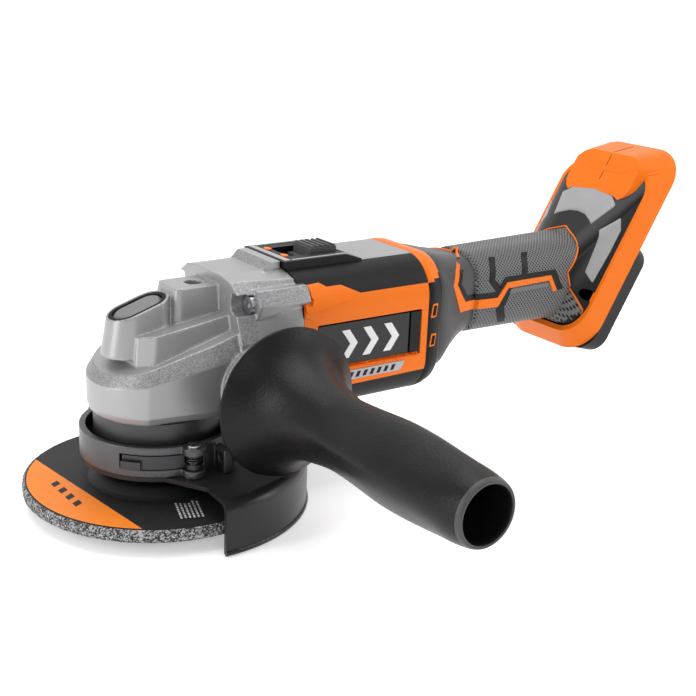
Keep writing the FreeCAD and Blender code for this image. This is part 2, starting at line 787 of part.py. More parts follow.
def spindle_bush():
    return rod(top_journal_r + bush_wall_t, bush_low, spindle_top).cut(
        rod(top_journal_r + RUN, bush_low - 1, 90))


def sealed_bearing(size, x0):
    """Shielded ball bearing: outer ring, two shields and a bore that runs on the shaft."""
    bore, outside, width = size
    body = rod_x(outside, x0, x0 + width).cut(rod_x(bore + RUN, x0 - 1, x0 + width + 1))
    shields = [rod_x(outside - 1.6, x0 + f - 0.3, x0 + f + 0.3).cut(rod_x(bore + 1.6, x0 - 2, 200))
               for f in (0, width)]
    return body.cut(fuse(shields))


def case_screws():
    screws = []
    for y, z in case_screw_at:
        head = rod_x(screw_head_r, case_screw_x - 2.6, case_screw_x, y, z)
        socket = hexagon_rod(2.2, 10, case_screw_x - 1, y, z)
        screws.append(head.fuse(rod_x(screw_r, case_screw_x, case_screw_end, y, z)).cut(socket))
    return Part.makeCompound(screws)


def lock_button():
    """Oval push button; its top follows the tilted rim of the tower."""
    def outline(grow, place):
        return stadium(button_x - button_half - grow, button_x + button_half + grow,
                       button_r + grow, place)
    low = well_floor_z + lock_travel + 0.3
    return loft([outline(0, lambda x, y: V(x, y, low)), outline(0, tower_plane(1.2)),
                 outline(-1.2, tower_plane(0.2))]).cut(rod(lock_pin_r, 0, low + 2, lock_pin_x))


def button_seal():
    """Rubber ring pressed into the tower's rim round the button."""
    def ring(grow, drop):
        return stadium(button_x - button_half - grow, button_x + button_half + grow,
                       button_r + grow, tower_plane(drop))
    return loft([ring(2, 1.6), ring(2, 0.2)]).cut(loft([ring(FREE, 5), ring(FREE, -5)]))


def lock_pin():
    return rod(lock_pin_r, ring_web_z + 1.0, well_floor_z + lock_travel + 2.3, lock_pin_x)


def lock_spring():
    high = well_floor_z + lock_travel + 0.2
    return coil(0.5, lock_pin_r + 1.2, well_floor_z + 0.1, high, 3, lock_pin_x, 0)


parts["gear_case"] = gear_case()
parts["spindle_bush"] = spindle_bush()
parts["front_motor_bearing"] = sealed_bearing(motor_bearing, bearing_seat_x)
parts["case_screws"] = case_screws()
parts["lock_button"] = lock_button()
parts["button_seal"] = button_seal()
parts["lock_pin"] = lock_pin()
parts["lock_spring"] = lock_spring()


# ---------------------------------------------------------------- motor
rotor_x = (stator_x[0] + 2, stator_x[1] - 2)


def motor_shaft():
    return turned([
        (0, pinion_back_x - 11.0), (pinion_seat_r, pinion_back_x - 11.0),
        (pinion_seat_r, pinion_back_x), (shaft_r, pinion_back_x),
        (shaft_r, rear_bearing_x + rear_bearing[2]), (0, rear_bearing_x + rear_bearing[2])],
        X_AXIS, V(0, 0, motor_z))


def magnet_bars(gap):
    bar = block((rotor_x[0] - gap, rotor_x[1] + gap), (-6.0 - gap, 6.0 + gap),
                (motor_z + 9.0 - gap, motor_z + 11.5 + gap))
    return at_angles(bar, range(0, 360, 90), X_AXIS, V(0, 0, motor_z))


def rotor_core():
    core = rod_x(rotor_r, *rotor_x).cut(rod_x(shaft_r, 0, 200))
    return core.cut(fuse(magnet_bars(RUN)))


def fan():
    """Radial fan: hub, backing disc and straight blades."""
    blade = block((fan_x + 2, fan_x + fan_w), (-0.7, 0.7), (motor_z + 11, motor_z + fan_r))
    blades = at_angles(blade, [i * 360.0 / 11 for i in range(11)], X_AXIS, V(0, 0, motor_z))
    disc = rod_x(fan_r, fan_x, fan_x + 2.2)
    hub = rod_x(9.0, fan_x, fan_x + fan_w + 2)
    return fuse([disc, hub] + blades).cut(rod_x(shaft_r, 0, 200))


def stator_core():
    """Laminated ring with six teeth."""
    ring = rod_x(stator_r, *stator_x).cut(rod_x(stator_r - 4.5, 0, 200))
    stem = block(stator_x, (-3.0, 3.0), (motor_z + stator_bore_r + 0.5, motor_z + stator_r - 3))
    shoe = rod_x(stator_bore_r + 2.2, *stator_x).cut(rod_x(stator_bore_r, 0, 200))
    shoe = shoe.common(block(stator_x, (-6, 6), (motor_z + 5, motor_z + 30)))
    teeth = at_angles(stem.fuse(shoe), range(0, 360, 60), X_AXIS, V(0, 0, motor_z))
    return fuse([ring] + teeth)


def stator_windings():
    """One copper coil round each stator tooth."""
    low = motor_z + stator_bore_r + 2.5
    high = motor_z + stator_r - 5.6
    over = 3.5
    coil_block = block((stator_x[0] - over, stator_x[1] + over), (-5.6, 5.6), (low, high))
    tooth = block((stator_x[0] - 0.4, stator_x[1] + 0.4), (-3.3, 3.3), (low - 1, high + 1))
    winding = coil_block.cut(tooth)
    rim = [e for e in winding.Edges if abs(e.CenterOfMass.y) > 5 and e.Length < 5]
    winding = winding.makeFillet(1.8, rim)
    return Part.makeCompound(at_angles(winding, range(0, 360, 60), X_AXIS, V(0, 0, motor_z)))


def fan_baffle():
    """Plate between the fan and the motor, gripped where the case meets the housing."""
    plate = rod_x(fan_chamber_r - 0.1, housing_x - 2.4, housing_x - 0.1)
    return plate.cut(rod_x(16.0, 0, 200))


parts["motor_shaft"] = motor_shaft()
parts["rotor_core"] = rotor_core()
parts["rotor_magnets"] = Part.makeCompound(magnet_bars(0))
parts["fan"] = fan()
parts["stator_core"] = stator_core()
parts["stator_windings"] = stator_windings()
parts["fan_baffle"] = fan_baffle()
parts["rear_motor_bearing"] = sealed_bearing(rear_bearing, rear_bearing_x)


# ---------------------------------------------------------------- motor housing and its skins
housing_top = motor_z + housing_h
side_window_x = (66.0, 128.0)
side_window_z = (59.0, 82.0)
bulkhead_x = 105.0
link_z = (97.5, 99.5)
link_y = 4.0


def prism_x(x0, x1, shrink):
    wire = section_x(x0, housing_y - shrink, housing_h - shrink, housing_corner - shrink, motor_z)
    return Part.Face(wire).extrude(V(x1 - x0, 0, 0))


def side_region(points):
    """Prism through one side wall over an outline given in (x, z)."""
    corners = [V(x, -60, z) for x, z in points]
    return Part.Face(Part.makePolygon(corners + corners[:1])).extrude(V(0, 60, 0))


def rectangle(x, z):
    return [(x[0], z[0]), (x[1], z[0]), (x[1], z[1]), (x[0], z[1])]


panel_outline = [(housing_x + 0.2, 99.0), (81, 99.0), (91, 94.5), (housing_end_x, 94.5),
                 (housing_end_x, 50.0), (64, 49.0), (housing_x + 0.2, 55.0)]
top_cover_x = (101.2, housing_end_x)
top_cover_y = 17.0


def skin():
    return prism_x(housing_x, housing_end_x, 0).cut(prism_x(housing_x - 1, housing_end_x + 1, skin_t))


def top_cover_room():
    return block(top_cover_x, (-top_cover_y, top_cover_y), (95, 120))


def hex_room():
    return fuse([hexagon_rod(hex_r + 0.1, 50, hex_end_x + 0.1, y, z) for y, z in case_screw_at])


def frame_room():
    return block(frame_x, (-frame_y, frame_y), (98, 130))


def side_panel():
    """Orange frame round the side plate, moulded over the housing."""
    window = side_region(rectangle(side_window_x, side_window_z))
    panel = skin().common(side_region(panel_outline)).cut(window)
    return panel.cut(frame_room()).cut(hex_room()).cut(top_cover_room())


def side_plate():
    """Dark plate in the panel's window, with the clip's end left free."""
    x = (side_window_x[0] + 1, side_window_x[1] - 7.5)
    z = (side_window_z[0] + 1, side_window_z[1] - 1)
    plate = prism_x(*x, 0.5).cut(prism_x(x[0] - 1, x[1] + 1, skin_t))
    return plate.common(side_region(rectangle(x, z)))


def side_clip():
    x = (side_window_x[1] - 6.5, side_window_x[1] - 0.6)
    z = (side_window_z[0] + 1, side_window_z[1] - 1)
    clip = prism_x(*x, 0.2).cut(prism_x(x[0] - 1, x[1] + 1, skin_t))
    return clip.common(side_region(rectangle(x, z)))


def top_cover():
    return skin().common(top_cover_room())


def motor_housing():
    """Barrel with ribs for the stator, a rear bulkhead, screw posts and a shelf for the switch."""
    core = prism_x(housing_x, housing_end_x, skin_t)
    inner = prism_x(housing_x - 1, housing_end_x + 1, skin_t + shell_t)
    body = core.cut(inner)
    rest = skin().cut(side_region(panel_outline)).cut(mirrored(side_region(panel_outline)))
    rest = rest.cut(top_cover_room()).cut(frame_room())
    pieces = [body, rest]
    for x in (stator_x[0] + 4, stator_x[1] - 8):
        rib = inner.common(block((x, x + 2.5), (-50, 50), (0, 150)))
        pieces.append(rib.cut(rod_x(stator_r + 0.05, 0, 200)))
    bulkhead = inner.common(block((bulkhead_x, bulkhead_x + 3), (-50, 50), (0, 150)))
    pieces.append(bulkhead)
    pieces.append(rod_x(rear_bearing[1] + 3, bulkhead_x - 1.5, bulkhead_x + 6.5))
    pieces.append(block((bulkhead_x, bulkhead_x + 24), (-7, 7), (85.5, 87.8)))
    for y, z in case_screw_at:
        pieces.append(rod_x(4.3, hex_end_x + 0.2, 80, y, z).common(core))
    housing = fuse(pieces)
    for y, z in case_screw_at:
        housing = housing.cut(rod_x(screw_r, 0, case_screw_end + 1, y, z))
    housing = housing.cut(hex_room())
    housing = housing.cut(rod_x(rear_bearing[1], rear_bearing_x, rear_bearing_x + rear_bearing[2]))
    housing = housing.cut(rod_x(7.0, 80, 200))
    passage = block((stator_x[0] + 2, 115), (-link_y - 1, link_y + 1), (link_z[0] - 0.7, link_z[1] + 0.7))
    neck_slot = block((slider_x[0] - switch_travel - 0.5 + 4, slider_x[1] - 1.5), (-4.6, 4.6), (95, 120))
    wires = block((bulkhead_x - 1, bulkhead_x + 4), (-22, -14), (60, 76))
    return housing.cut(passage).cut(neck_slot).cut(wires)


def collar_ring():
    """Orange ring over the front of the handle, where the barrel starts to narrow."""
    outer = loft([handle_ring(0, 0), handle_ring(1, 0)])
    inner = loft([handle_ring(0, skin_t), handle_ring(1, skin_t)])
    return outer.cut(inner)


# ---------------------------------------------------------------- handle
handle_stations = [
    # x, half width, half height, corner, centre height, lean of the section in degrees
    (housing_end_x + 0.1, housing_y, housing_h, housing_corner, motor_z, 0),
    (150.0, 28.5, 31.0, 18.0, 72.8, 0),
    (neck_x, 20.0, 23.0, 14.0, 76.5, 0),
    (grip_start_x, grip_y - rubber_t, grip_h - rubber_t, grip_corner, handle_z, 0),
    (grip_end_x, grip_y - rubber_t + 1, grip_h - rubber_t + 1, grip_corner, handle_z + 0.5,
     grip_lean),
]


def leaning_section(x, half_y, half_z, corner, zc, lean):
    k = tan(radians(lean))
    return rounded_wire(lambda u, v: V(x + v * k, u, zc + v), half_y, half_z, corner)


def handle_ring(i, shrink):
    x, half_y, half_z, corner, zc, lean = handle_stations[i]
    return leaning_section(x, half_y - shrink, half_z - shrink, corner - shrink, zc, lean)


def foot_ring(shrink):
    return section_foot(-foot_rim - hood_t, 10 + shrink, 106 - shrink, 31 - shrink, 15 - shrink)


def handle_stretches(shrink, first_shrink):
    """The handle's front taper, grip and flare as three solids that meet end to end."""
    front = [handle_ring(0, first_shrink), handle_ring(1, first_shrink),
             handle_ring(2, shrink), handle_ring(3, shrink)]
    return [loft(front), loft([handle_ring(3, shrink), handle_ring(4, shrink)]),
            loft([handle_ring(4, shrink), foot_ring(shrink)])]


board_x = (184.0, 240.0)
board_y = 10.5
board_z = (68.0, 84.0)
handle_screw_at = [(152.0, 50.0), (152.0, 94.0), (214.0, 64.0), (250.0, 72.0)]


def handle_shell(side):
    """One half of the clamshell handle, with two frames for the control board inside."""
    outside = handle_stretches(0, skin_t)
    inside = handle_stretches(shell_t, skin_t + shell_t)
    pieces = [outer.cut(inner) for outer, inner in zip(outside, inside)]
    board_room = block(board_x, (-board_y - SEAT, board_y + SEAT),
                       (board_z[0] - SEAT, board_z[1] + SEAT))
    for x in (board_x[0] + 6, board_x[1] - 14):
        frame = block((x, x + 2), (-40, 40), (0, 200)).common(outside[1])
        pieces.append(frame.cut(board_room))
    for x, z in handle_screw_at:
        stretch = outside[0 if x < grip_start_x else 1 if x < grip_end_x else 2]
        pieces.append(rod_y(4.0, -40, 40, x, z).common(stretch))
    shell = pieces[0].multiFuse(pieces[1:])
    for x, z in handle_screw_at:
        shell = shell.cut(rod_y(1.5, -60, 15, x, z)).cut(rod_y(3.2, -60, -8, x, z))
    return shell.common(half_space(side))


def handle_screws():
    screws = []
    for x, z in handle_screw_at:
        screw = rod_y(1.5, -8, 14, x, z).fuse(rod_y(2.9, -10.4, -8, x, z))
        screws.append(screw.cut(rod_y(1.3, -12, -9, x, z)))
    return Part.makeCompound(screws)


def grip_sleeve(side):
    """Soft rubber over one half of the grip."""
    outer = loft([handle_ring(3, -rubber_t), handle_ring(4, -rubber_t)])
    return outer.cut(loft([handle_ring(3, 0), handle_ring(4, 0)])).common(half_space(side))


# ---------------------------------------------------------------- battery foot
def foot_hood(side):
    """Orange rim and hood round the battery face; closed above, open towards the pack."""
    front = section_foot(-foot_rim - hood_t, 6, 108, 33, 16)
    back = section_foot(0, 0, foot_len, foot_y, 20)
    crown_low = section_foot(-foot_rim - 8, 84, 112, 24, 10)
    crown_high = section_foot(-2, 84, foot_len - 1, foot_y - 3, 18)
    outer = loft([front, back]).fuse(loft([crown_low, crown_high]))
    inner = loft([section_foot(-foot_rim - hood_t - 0.1, 9, 105, 30, 13),
                  section_foot(0.1, 3, foot_len - 3, foot_y - 3, 17)])
    hood = outer.cut(inner).cut(handle_stretches(0, 0)[2])
    return hood.common(half_space(side))


def battery_rails():
    """Face plate that closes the foot, with two hooked rails that the pack slides along."""
    gap = 0.2
    plate = loft([section_foot(-4, 5 + gap, foot_len - 9 - gap, foot_y - 4.5, 15),
                  section_foot(0.1, 3 + gap, foot_len - 3 - gap, foot_y - 3 - gap, 17)])
    rails = loft([section_foot(0.05, 2, rail_len, foot_y - 0.5, 12),
                  section_foot(rail_depth, 5, rail_len - 3, foot_y - 1.5, 10)])
    slot = foot_box((-10, rail_len - 8), (0.5, rail_depth + 1), (-rail_slot_y, rail_slot_y))
    lips = [foot_box((14, rail_len - 5), (rail_depth - rail_lip, rail_depth - 0.2), y)
            for y in ((-rail_slot_y - 1, -rail_slot_y + rail_lip),
                      (rail_slot_y - rail_lip, rail_slot_y + 1))]
    window = foot_box((38, 60), (-6, 1), (-14, 14))
    return fuse([plate, rails.cut(slot)] + lips).cut(window)


def terminal_block():
    """Contact carrier in the rail plate's window."""
    base = foot_box((38.3, 59.7), (-6.0, 1.5), (-13.7, 13.7))
    tower = foot_box((44, 56), (1.4, 5.5), (-12, 12))
    slots = [foot_box((42, 54), (1.0, 6), (y - 0.9, y + 0.9)) for y in blade_y]
    return base.fuse(tower).cut(fuse(slots))


blade_y = (-9.0, -3.0, 3.0, 9.0)


def terminal_blades():
    return Part.makeCompound([foot_box((45, 53), (1.0, 5.0), (y - 0.4, y + 0.4)) for y in blade_y])


def foot_panels():
    """Grey inlays on the flare between grip and foot: one on top, one on each side."""
    skin_low = loft([handle_ring(4, 0), foot_ring(0)])
    skin_high = loft([handle_ring(4, -1.2), foot_ring(-1.2)])
    layer = skin_high.cut(skin_low).cut(foot_hood(-1)).cut(foot_hood(1))
    top = layer.common(block((262, 290), (-13, 13), (100, 150)))
    side = layer.common(foot_box((45, 80), (-33, -23), (-60, -5)))
    return Part.makeCompound([s for s in (top, side, mirrored(side)) if s.Solids])


def control_board():
    """Motor controller in its potting tray."""
    tray = block(board_x, (-board_y, board_y), board_z)
    hollow = block((board_x[0] + 1.5, board_x[1] - 1.5), (-board_y + 1.5, board_y - 1.5),
                   (board_z[0] + 1.5, board_z[1] + 1))
    board = block((board_x[0] + 1.5, board_x[1] - 1.5), (-board_y + 1.5, board_y - 1.5),
                  (board_z[1] - 8, board_z[1] - 6.4))
    caps = [rod(4.0, board_z[1] - 6.5, board_z[1] - 0.5, x) for x in (196, 207)]
    return fuse([tray.cut(hollow), board] + caps)


# ---------------------------------------------------------------- switch
def switch_frame():
    """Black plate on the housing with the window that the slider runs in."""
    core = prism_x(housing_x - 5, housing_end_x, skin_t)
    side = [V(frame_x[0], 0, 98), V(frame_x[1] - 8, 0, 98), V(frame_x[1], 0, 104),
            V(frame_x[1], 0, frame_top - 3), V(frame_x[1] - 9, 0, frame_top),
            V(frame_x[0], 0, frame_top), V(frame_x[0], 0, 98)]
    body = Part.Face(Part.makePolygon(side)).extrude(V(0, 2 * frame_y, 0))
    body.translate(V(0, -frame_y, 0))
    window = block(slide_window_x, (-slider_y - 1, slider_y + 1), (95, 130))
    fall = block((frame_x[0], housing_x + 0.1), (-30, 30), (90, housing_top + 0.3))
    frame = body.cut(core).cut(window).cut(fall)
    return max(frame.Solids, key=lambda solid: solid.Volume)


def switch_slider():
    """Plate with a ribbed thumb pad, a neck through the housing and a foot for the link."""
    floor = housing_top - skin_t + FREE
    plate = block((slider_x[0] - 3, slider_x[1] + 3.5), (-slider_y, slider_y), (floor, floor + 2.4))
    pad = block(slider_x, (-slider_y + 0.5, slider_y - 0.5), (floor + 2, floor + 7))
    ribs = [block((slider_x[0] + i, slider_x[0] + i + 1.2), (-slider_y + 0.5, slider_y - 0.5),
                  (floor + 6.9, floor + 8)) for i in range(1, 14, 3)]
    neck = block((slider_x[0] + 5, slider_x[1] - 3), (-link_y, link_y), (link_z[1] - 0.1, floor + 1))
    return fuse([plate, pad, neck] + ribs)


def switch_link():
    """Flat push rod from the slider back to the microswitch."""
    return block((slider_x[0] + 3, 124), (-link_y, link_y), (link_z[0], link_z[1] - 0.1))


def microswitch():
    body = block((bulkhead_x + 4, bulkhead_x + 23), (-5, 5), (87.9, 96.2))
    button = block((bulkhead_x + 12, bulkhead_x + 15), (-1.5, 1.5), (96, 97.1))
    tags = [block((bulkhead_x + 22.9, bulkhead_x + 28), (y - 1.2, y + 1.2), (91, 91.8))
            for y in (-3, 3)]
    return fuse([body, button] + tags)


# ---------------------------------------------------------------- side handle
def side_handle():
    """Hollow moulded grip with a trumpet-shaped hand guard, turned about its own axis."""
    def at(r, y):
        return V(r, 0, y)
    base_y = side_boss_y + washer_t + 0.2
    rim_y = side_flange_y
    neck_y = 101.0
    belly_y = 140.0
    tip_y = side_end_y - 4
    bore_top = side_end_y - side_bore_depth
    stem = Part.BSplineCurve()
    stem.interpolate([at(side_flange_r - 0.4, rim_y + 1.6), at(24.5, rim_y + 12),
                      at(18.0, 84), at(side_neck_r + 0.2, neck_y), at(side_belly_r, belly_y),
                      at(side_belly_r - 1.6, 168), at(side_end_r + 1.2, tip_y)])
    lines = [
        Part.makePolygon([at(0, base_y), at(side_root_r, base_y), at(side_root_r, base_y + 8),
                          at(side_flange_r - 1, rim_y - 0.8), at(side_flange_r, rim_y),
                          at(side_flange_r - 0.4, rim_y + 1.6)]).Edges,
        [stem.toShape()],
        Part.makePolygon([at(side_end_r + 1.2, tip_y), at(side_end_r, side_end_y),
                          at(side_bore_r, side_end_y), at(side_bore_r - 0.8, bore_top),
                          at(0, bore_top), at(0, base_y)]).Edges]
    solid = Part.Face(Part.Wire([edge for group in lines for edge in group]))
    solid = solid.revolve(V(0, 0, 0), Z_AXIS, 360)
    solid.Placement = FreeCAD.Placement(V(side_x, 0, side_z), FreeCAD.Rotation(Z_AXIS, Y_AXIS * -1))
    return solid.cut(rod_y(m8_r - RUN, -side_stud_y, 0, side_x, side_z))


side_stud_y = side_boss_y + 45.0


def side_handle_stud():
    """M8 stud moulded into the grip; its free end screws into the gear case."""
    return rod_y(m8_r - RUN, -side_stud_y, -side_boss_y + m8_depth - 1.5, side_x, side_z)


def side_handle_washer():
    ring = rod_y(13.0, -side_boss_y - washer_t, -side_boss_y - 0.1, side_x, side_z)
    return ring.cut(rod_y(m8_r + 0.3, -60, 0, side_x, side_z))


parts["motor_housing"] = motor_housing()
parts["side_panel_left"] = side_panel()
parts["side_panel_right"] = mirrored(side_panel())
parts["side_plate_left"] = side_plate()
parts["side_plate_right"] = mirrored(side_plate())
parts["side_clips"] = Part.makeCompound([side_clip(), mirrored(side_clip())])
parts["top_cover"] = top_cover()
parts["collar_ring"] = collar_ring()
parts["handle_shell_left"] = handle_shell(-1)
parts["handle_shell_right"] = handle_shell(1)
parts["handle_screws"] = handle_screws()
parts["grip_sleeve_left"] = grip_sleeve(-1)
parts["grip_sleeve_right"] = grip_sleeve(1)
parts["foot_hood_left"] = foot_hood(-1)
parts["foot_hood_right"] = foot_hood(1)
parts["foot_panels"] = foot_panels()
parts["battery_rails"] = battery_rails()
parts["terminal_block"] = terminal_block()
parts["terminal_blades"] = terminal_blades()
parts["control_board"] = control_board()
parts["switch_frame"] = switch_frame()
parts["switch_slider"] = switch_slider()
parts["switch_link"] = switch_link()
parts["microswitch"] = microswitch()
parts["side_handle"] = side_handle()
parts["side_handle_stud"] = side_handle_stud()
parts["side_handle_washer"] = side_handle_washer()


# ---------------------------------------------------------------- export
os.makedirs("parts", exist_ok=True)
for name, shape in parts.items():
    assert shape.isValid(), name
    assert all(solid.Volume > 0 for solid in shape.Solids), name
    shape.exportStep("parts/" + name + ".step")
print(len(parts), "parts")
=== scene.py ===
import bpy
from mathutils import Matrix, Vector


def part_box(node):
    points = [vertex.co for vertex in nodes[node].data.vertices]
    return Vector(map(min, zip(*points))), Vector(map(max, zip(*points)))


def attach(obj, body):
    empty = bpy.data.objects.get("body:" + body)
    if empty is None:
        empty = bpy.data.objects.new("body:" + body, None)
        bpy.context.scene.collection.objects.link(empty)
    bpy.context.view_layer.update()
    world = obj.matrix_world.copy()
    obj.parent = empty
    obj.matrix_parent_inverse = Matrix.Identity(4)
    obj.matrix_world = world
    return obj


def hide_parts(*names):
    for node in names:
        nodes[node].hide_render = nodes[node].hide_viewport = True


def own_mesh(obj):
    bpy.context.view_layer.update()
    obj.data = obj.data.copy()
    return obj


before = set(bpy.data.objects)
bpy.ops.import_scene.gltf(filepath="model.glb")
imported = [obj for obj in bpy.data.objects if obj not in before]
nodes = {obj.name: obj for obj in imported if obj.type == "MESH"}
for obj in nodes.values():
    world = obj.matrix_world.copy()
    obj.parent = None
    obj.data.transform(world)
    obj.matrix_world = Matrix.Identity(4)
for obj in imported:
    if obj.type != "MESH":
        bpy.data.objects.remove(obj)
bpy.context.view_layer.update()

import bpy
import bmesh
import random
from math import atan2, cos, hypot, pi, radians, sin
from mathutils import Matrix, Vector, noise
from mathutils.bvhtree import BVHTree

MM = 0.001

# ---------------------------------------------------------------- studio
# A pale seamless floor under the guard's edge, a large soft box overhead and narrow bright panels
# at the sides. The room is bright behind the tool and dim on the camera's side.
floor_mesh = bpy.data.meshes.new("floor")
floor_mesh.from_pydata([(-9, -9, 0), (9, -9, 0), (9, 9, 0), (-9, 9, 0)], [], [(0, 1, 2, 3)])
floor = bpy.data.objects.new("floor", floor_mesh)
floor.location.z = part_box("guard_shell")[0].z - 0.4 * MM
bpy.context.scene.collection.objects.link(floor)
floor_paint = bpy.data.materials.new("pale_floor")
floor_paint.use_nodes = True
floor_shader = floor_paint.node_tree.nodes["Principled BSDF"]
floor_shader.inputs["Base Color"].default_value = (0.92, 0.92, 0.92, 1)
floor_shader.inputs["Roughness"].default_value = 0.9
floor_shader.inputs["Emission Color"].default_value = (1, 1, 1, 1)
floor_shader.inputs["Emission Strength"].default_value = 0.34
floor_mesh.materials.append(floor_paint)

world = bpy.data.worlds.new("studio")
world.use_nodes = True
room = world.node_tree
room_side = room.nodes.new("ShaderNodeVectorMath")
room_side.operation = "DOT_PRODUCT"
room_side.inputs[1].default_value = (0.59, 0.81, 0)
room_light = room.nodes.new("ShaderNodeValToRGB")
room_light.color_ramp.elements[0].position = 0.15
room_light.color_ramp.elements[0].color = (0.4, 0.4, 0.4, 1)
room_light.color_ramp.elements[1].position = 0.72
room_light.color_ramp.elements[1].color = (1, 1, 1, 1)
room_map = room.nodes.new("ShaderNodeMapRange")
room_map.inputs["From Min"].default_value = -1
room_dir = room.nodes.new("ShaderNodeTexCoord")
room.links.new(room_dir.outputs["Generated"], room_side.inputs[0])
room.links.new(room_side.outputs["Value"], room_map.inputs["Value"])
room.links.new(room_map.outputs["Result"], room_light.inputs["Fac"])
room.links.new(room_light.outputs["Color"], room.nodes["Background"].inputs["Color"])
room.nodes["Background"].inputs["Strength"].default_value = 1.06
bpy.context.scene.world = world


def soft_box(name, place, aim, width, height, power):
    lamp = bpy.data.lights.new(name, "AREA")
    lamp.shape = "RECTANGLE"
    lamp.size = width
    lamp.size_y = height
    lamp.energy = power
    lit = bpy.data.objects.new(name, lamp)
    lit.location = place
    lit.rotation_euler = (Vector(aim) - Vector(place)).to_track_quat("-Z", "Y").to_euler()
    bpy.context.scene.collection.objects.link(lit)


middle = (0.1, 0.0, 0.06)
soft_box("overhead", (0.10, 0.15, 1.0), middle, 0.9, 0.6, 5.0)
soft_box("left_panel", (-0.95, 0.05, 0.42), middle, 0.18, 0.8, 4.2)
soft_box("front_panel", (-0.30, -0.95, 0.62), middle, 0.75, 0.12, 1.6)
soft_box("right_panel", (0.9, -0.55, 0.55), middle, 0.18, 0.9, 3.2)

camera_turn = radians(-36.22)
camera_tilt = radians(17.93)
camera_roll = radians(2.43)
back = Vector((sin(camera_turn) * cos(camera_tilt), -cos(camera_turn) * cos(camera_tilt),
               sin(camera_tilt)))
right = Vector((cos(camera_turn), sin(camera_turn), 0))
up = back.cross(right)
lens_right = cos(camera_roll) * right + sin(camera_roll) * up
lens_up = -sin(camera_roll) * right + cos(camera_roll) * up
camera = bpy.data.objects.new("camera", bpy.data.cameras.new("camera"))
camera.data.sensor_width = 36
camera.data.lens = 64.61
camera.matrix_world = Matrix.LocRotScale(
    Vector((-250.36, -489.56, 251.46)) * MM,
    Matrix((lens_right, lens_up, back)).transposed(), Vector((1, 1, 1)))
bpy.context.scene.collection.objects.link(camera)
bpy.context.scene.camera = camera
bpy.context.scene.view_settings.view_transform = "Standard"


# ---------------------------------------------------------------- grinding wheel
# A depressed-centre wheel of resin-bonded grain and glass mesh, pressed in a mould. Its rim is
# left rough, so the grains show as dark and pale specks.
def surface(name, colour, shade, rough, metal=0.0, grain=900.0, depth=0.15, patch=60.0,
            coat=0.0, reach=0.0004):
    """Two close tones in soft patches, with a fine grain in the gloss and in the relief."""
    made = bpy.data.materials.new(name)
    made.use_nodes = True
    tree = made.node_tree
    shader = tree.nodes["Principled BSDF"]
    shader.inputs["Metallic"].default_value = metal
    shader.inputs["Specular IOR Level"].default_value = 0.5 if metal > 0.3 else 0.18
    shader.inputs["Coat Weight"].default_value = coat
    shader.inputs["Coat Roughness"].default_value = 0.25
    place = tree.nodes.new("ShaderNodeTexCoord")
    patches = tree.nodes.new("ShaderNodeTexNoise")
    patches.inputs["Scale"].default_value = patch
    patches.inputs["Detail"].default_value = 3
    grains = tree.nodes.new("ShaderNodeTexNoise")
    grains.inputs["Scale"].default_value = grain
    grains.inputs["Detail"].default_value = 2
    tones = tree.nodes.new("ShaderNodeMix")
    tones.data_type = "RGBA"
    tones.inputs["A"].default_value = (*colour, 1)
    tones.inputs["B"].default_value = (*shade, 1)
    gloss = tree.nodes.new("ShaderNodeMapRange")
    gloss.inputs["To Min"].default_value = rough - 0.06
    gloss.inputs["To Max"].default_value = rough + 0.08
    relief = tree.nodes.new("ShaderNodeBump")
    relief.inputs["Strength"].default_value = depth
    relief.inputs["Distance"].default_value = reach
    tree.links.new(place.outputs["Object"], patches.inputs["Vector"])
    tree.links.new(place.outputs["Object"], grains.inputs["Vector"])
    tree.links.new(patches.outputs["Fac"], tones.inputs["Factor"])
    tree.links.new(tones.outputs["Result"], shader.inputs["Base Color"])
    tree.links.new(grains.outputs["Fac"], gloss.inputs["Value"])
    tree.links.new(gloss.outputs["Result"], shader.inputs["Roughness"])
    tree.links.new(grains.outputs["Fac"], relief.inputs["Height"])
    tree.links.new(relief.outputs["Normal"], shader.inputs["Normal"])
    return made


def speckle(made, scale, low, high, dark, pale):
    """Adds hard-edged grains of two tones to a surface."""
    tree = made.node_tree
    cells = tree.nodes.new("ShaderNodeTexVoronoi")
    cells.inputs["Scale"].default_value = scale
    ramp = tree.nodes.new("ShaderNodeValToRGB")
    ramp.color_ramp.elements[0].position = low
    ramp.color_ramp.elements[0].color = (*dark, 1)
    ramp.color_ramp.elements[1].position = high
    ramp.color_ramp.elements[1].color = (*pale, 1)
    split = tree.nodes.new("ShaderNodeSeparateColor")
    place = tree.nodes["Texture Coordinate"]
    shader = tree.nodes["Principled BSDF"]
    tree.links.new(place.outputs["Object"], cells.inputs["Vector"])
    tree.links.new(cells.outputs["Color"], split.inputs["Color"])
    tree.links.new(split.outputs["Red"], ramp.inputs["Fac"])
    tree.links.new(ramp.outputs["Color"], shader.inputs["Base Color"])
    return made


def dress(thing, *materials):
    """Gives an object its materials in order."""
    thing.data.materials.clear()
    for made in materials:
        thing.data.materials.append(made)


def shape(name, points, faces, smooth=True):
    mesh = bpy.data.meshes.new(name)
    mesh.from_pydata([tuple(p) for p in points], [], faces)
    form = bmesh.new()
    form.from_mesh(mesh)
    bmesh.ops.recalc_face_normals(form, faces=form.faces)
    form.to_mesh(mesh)
    form.free()
    for face in mesh.polygons:
        face.use_smooth = smooth
    made = bpy.data.objects.new(name, mesh)
    bpy.context.scene.collection.objects.link(made)
    return made


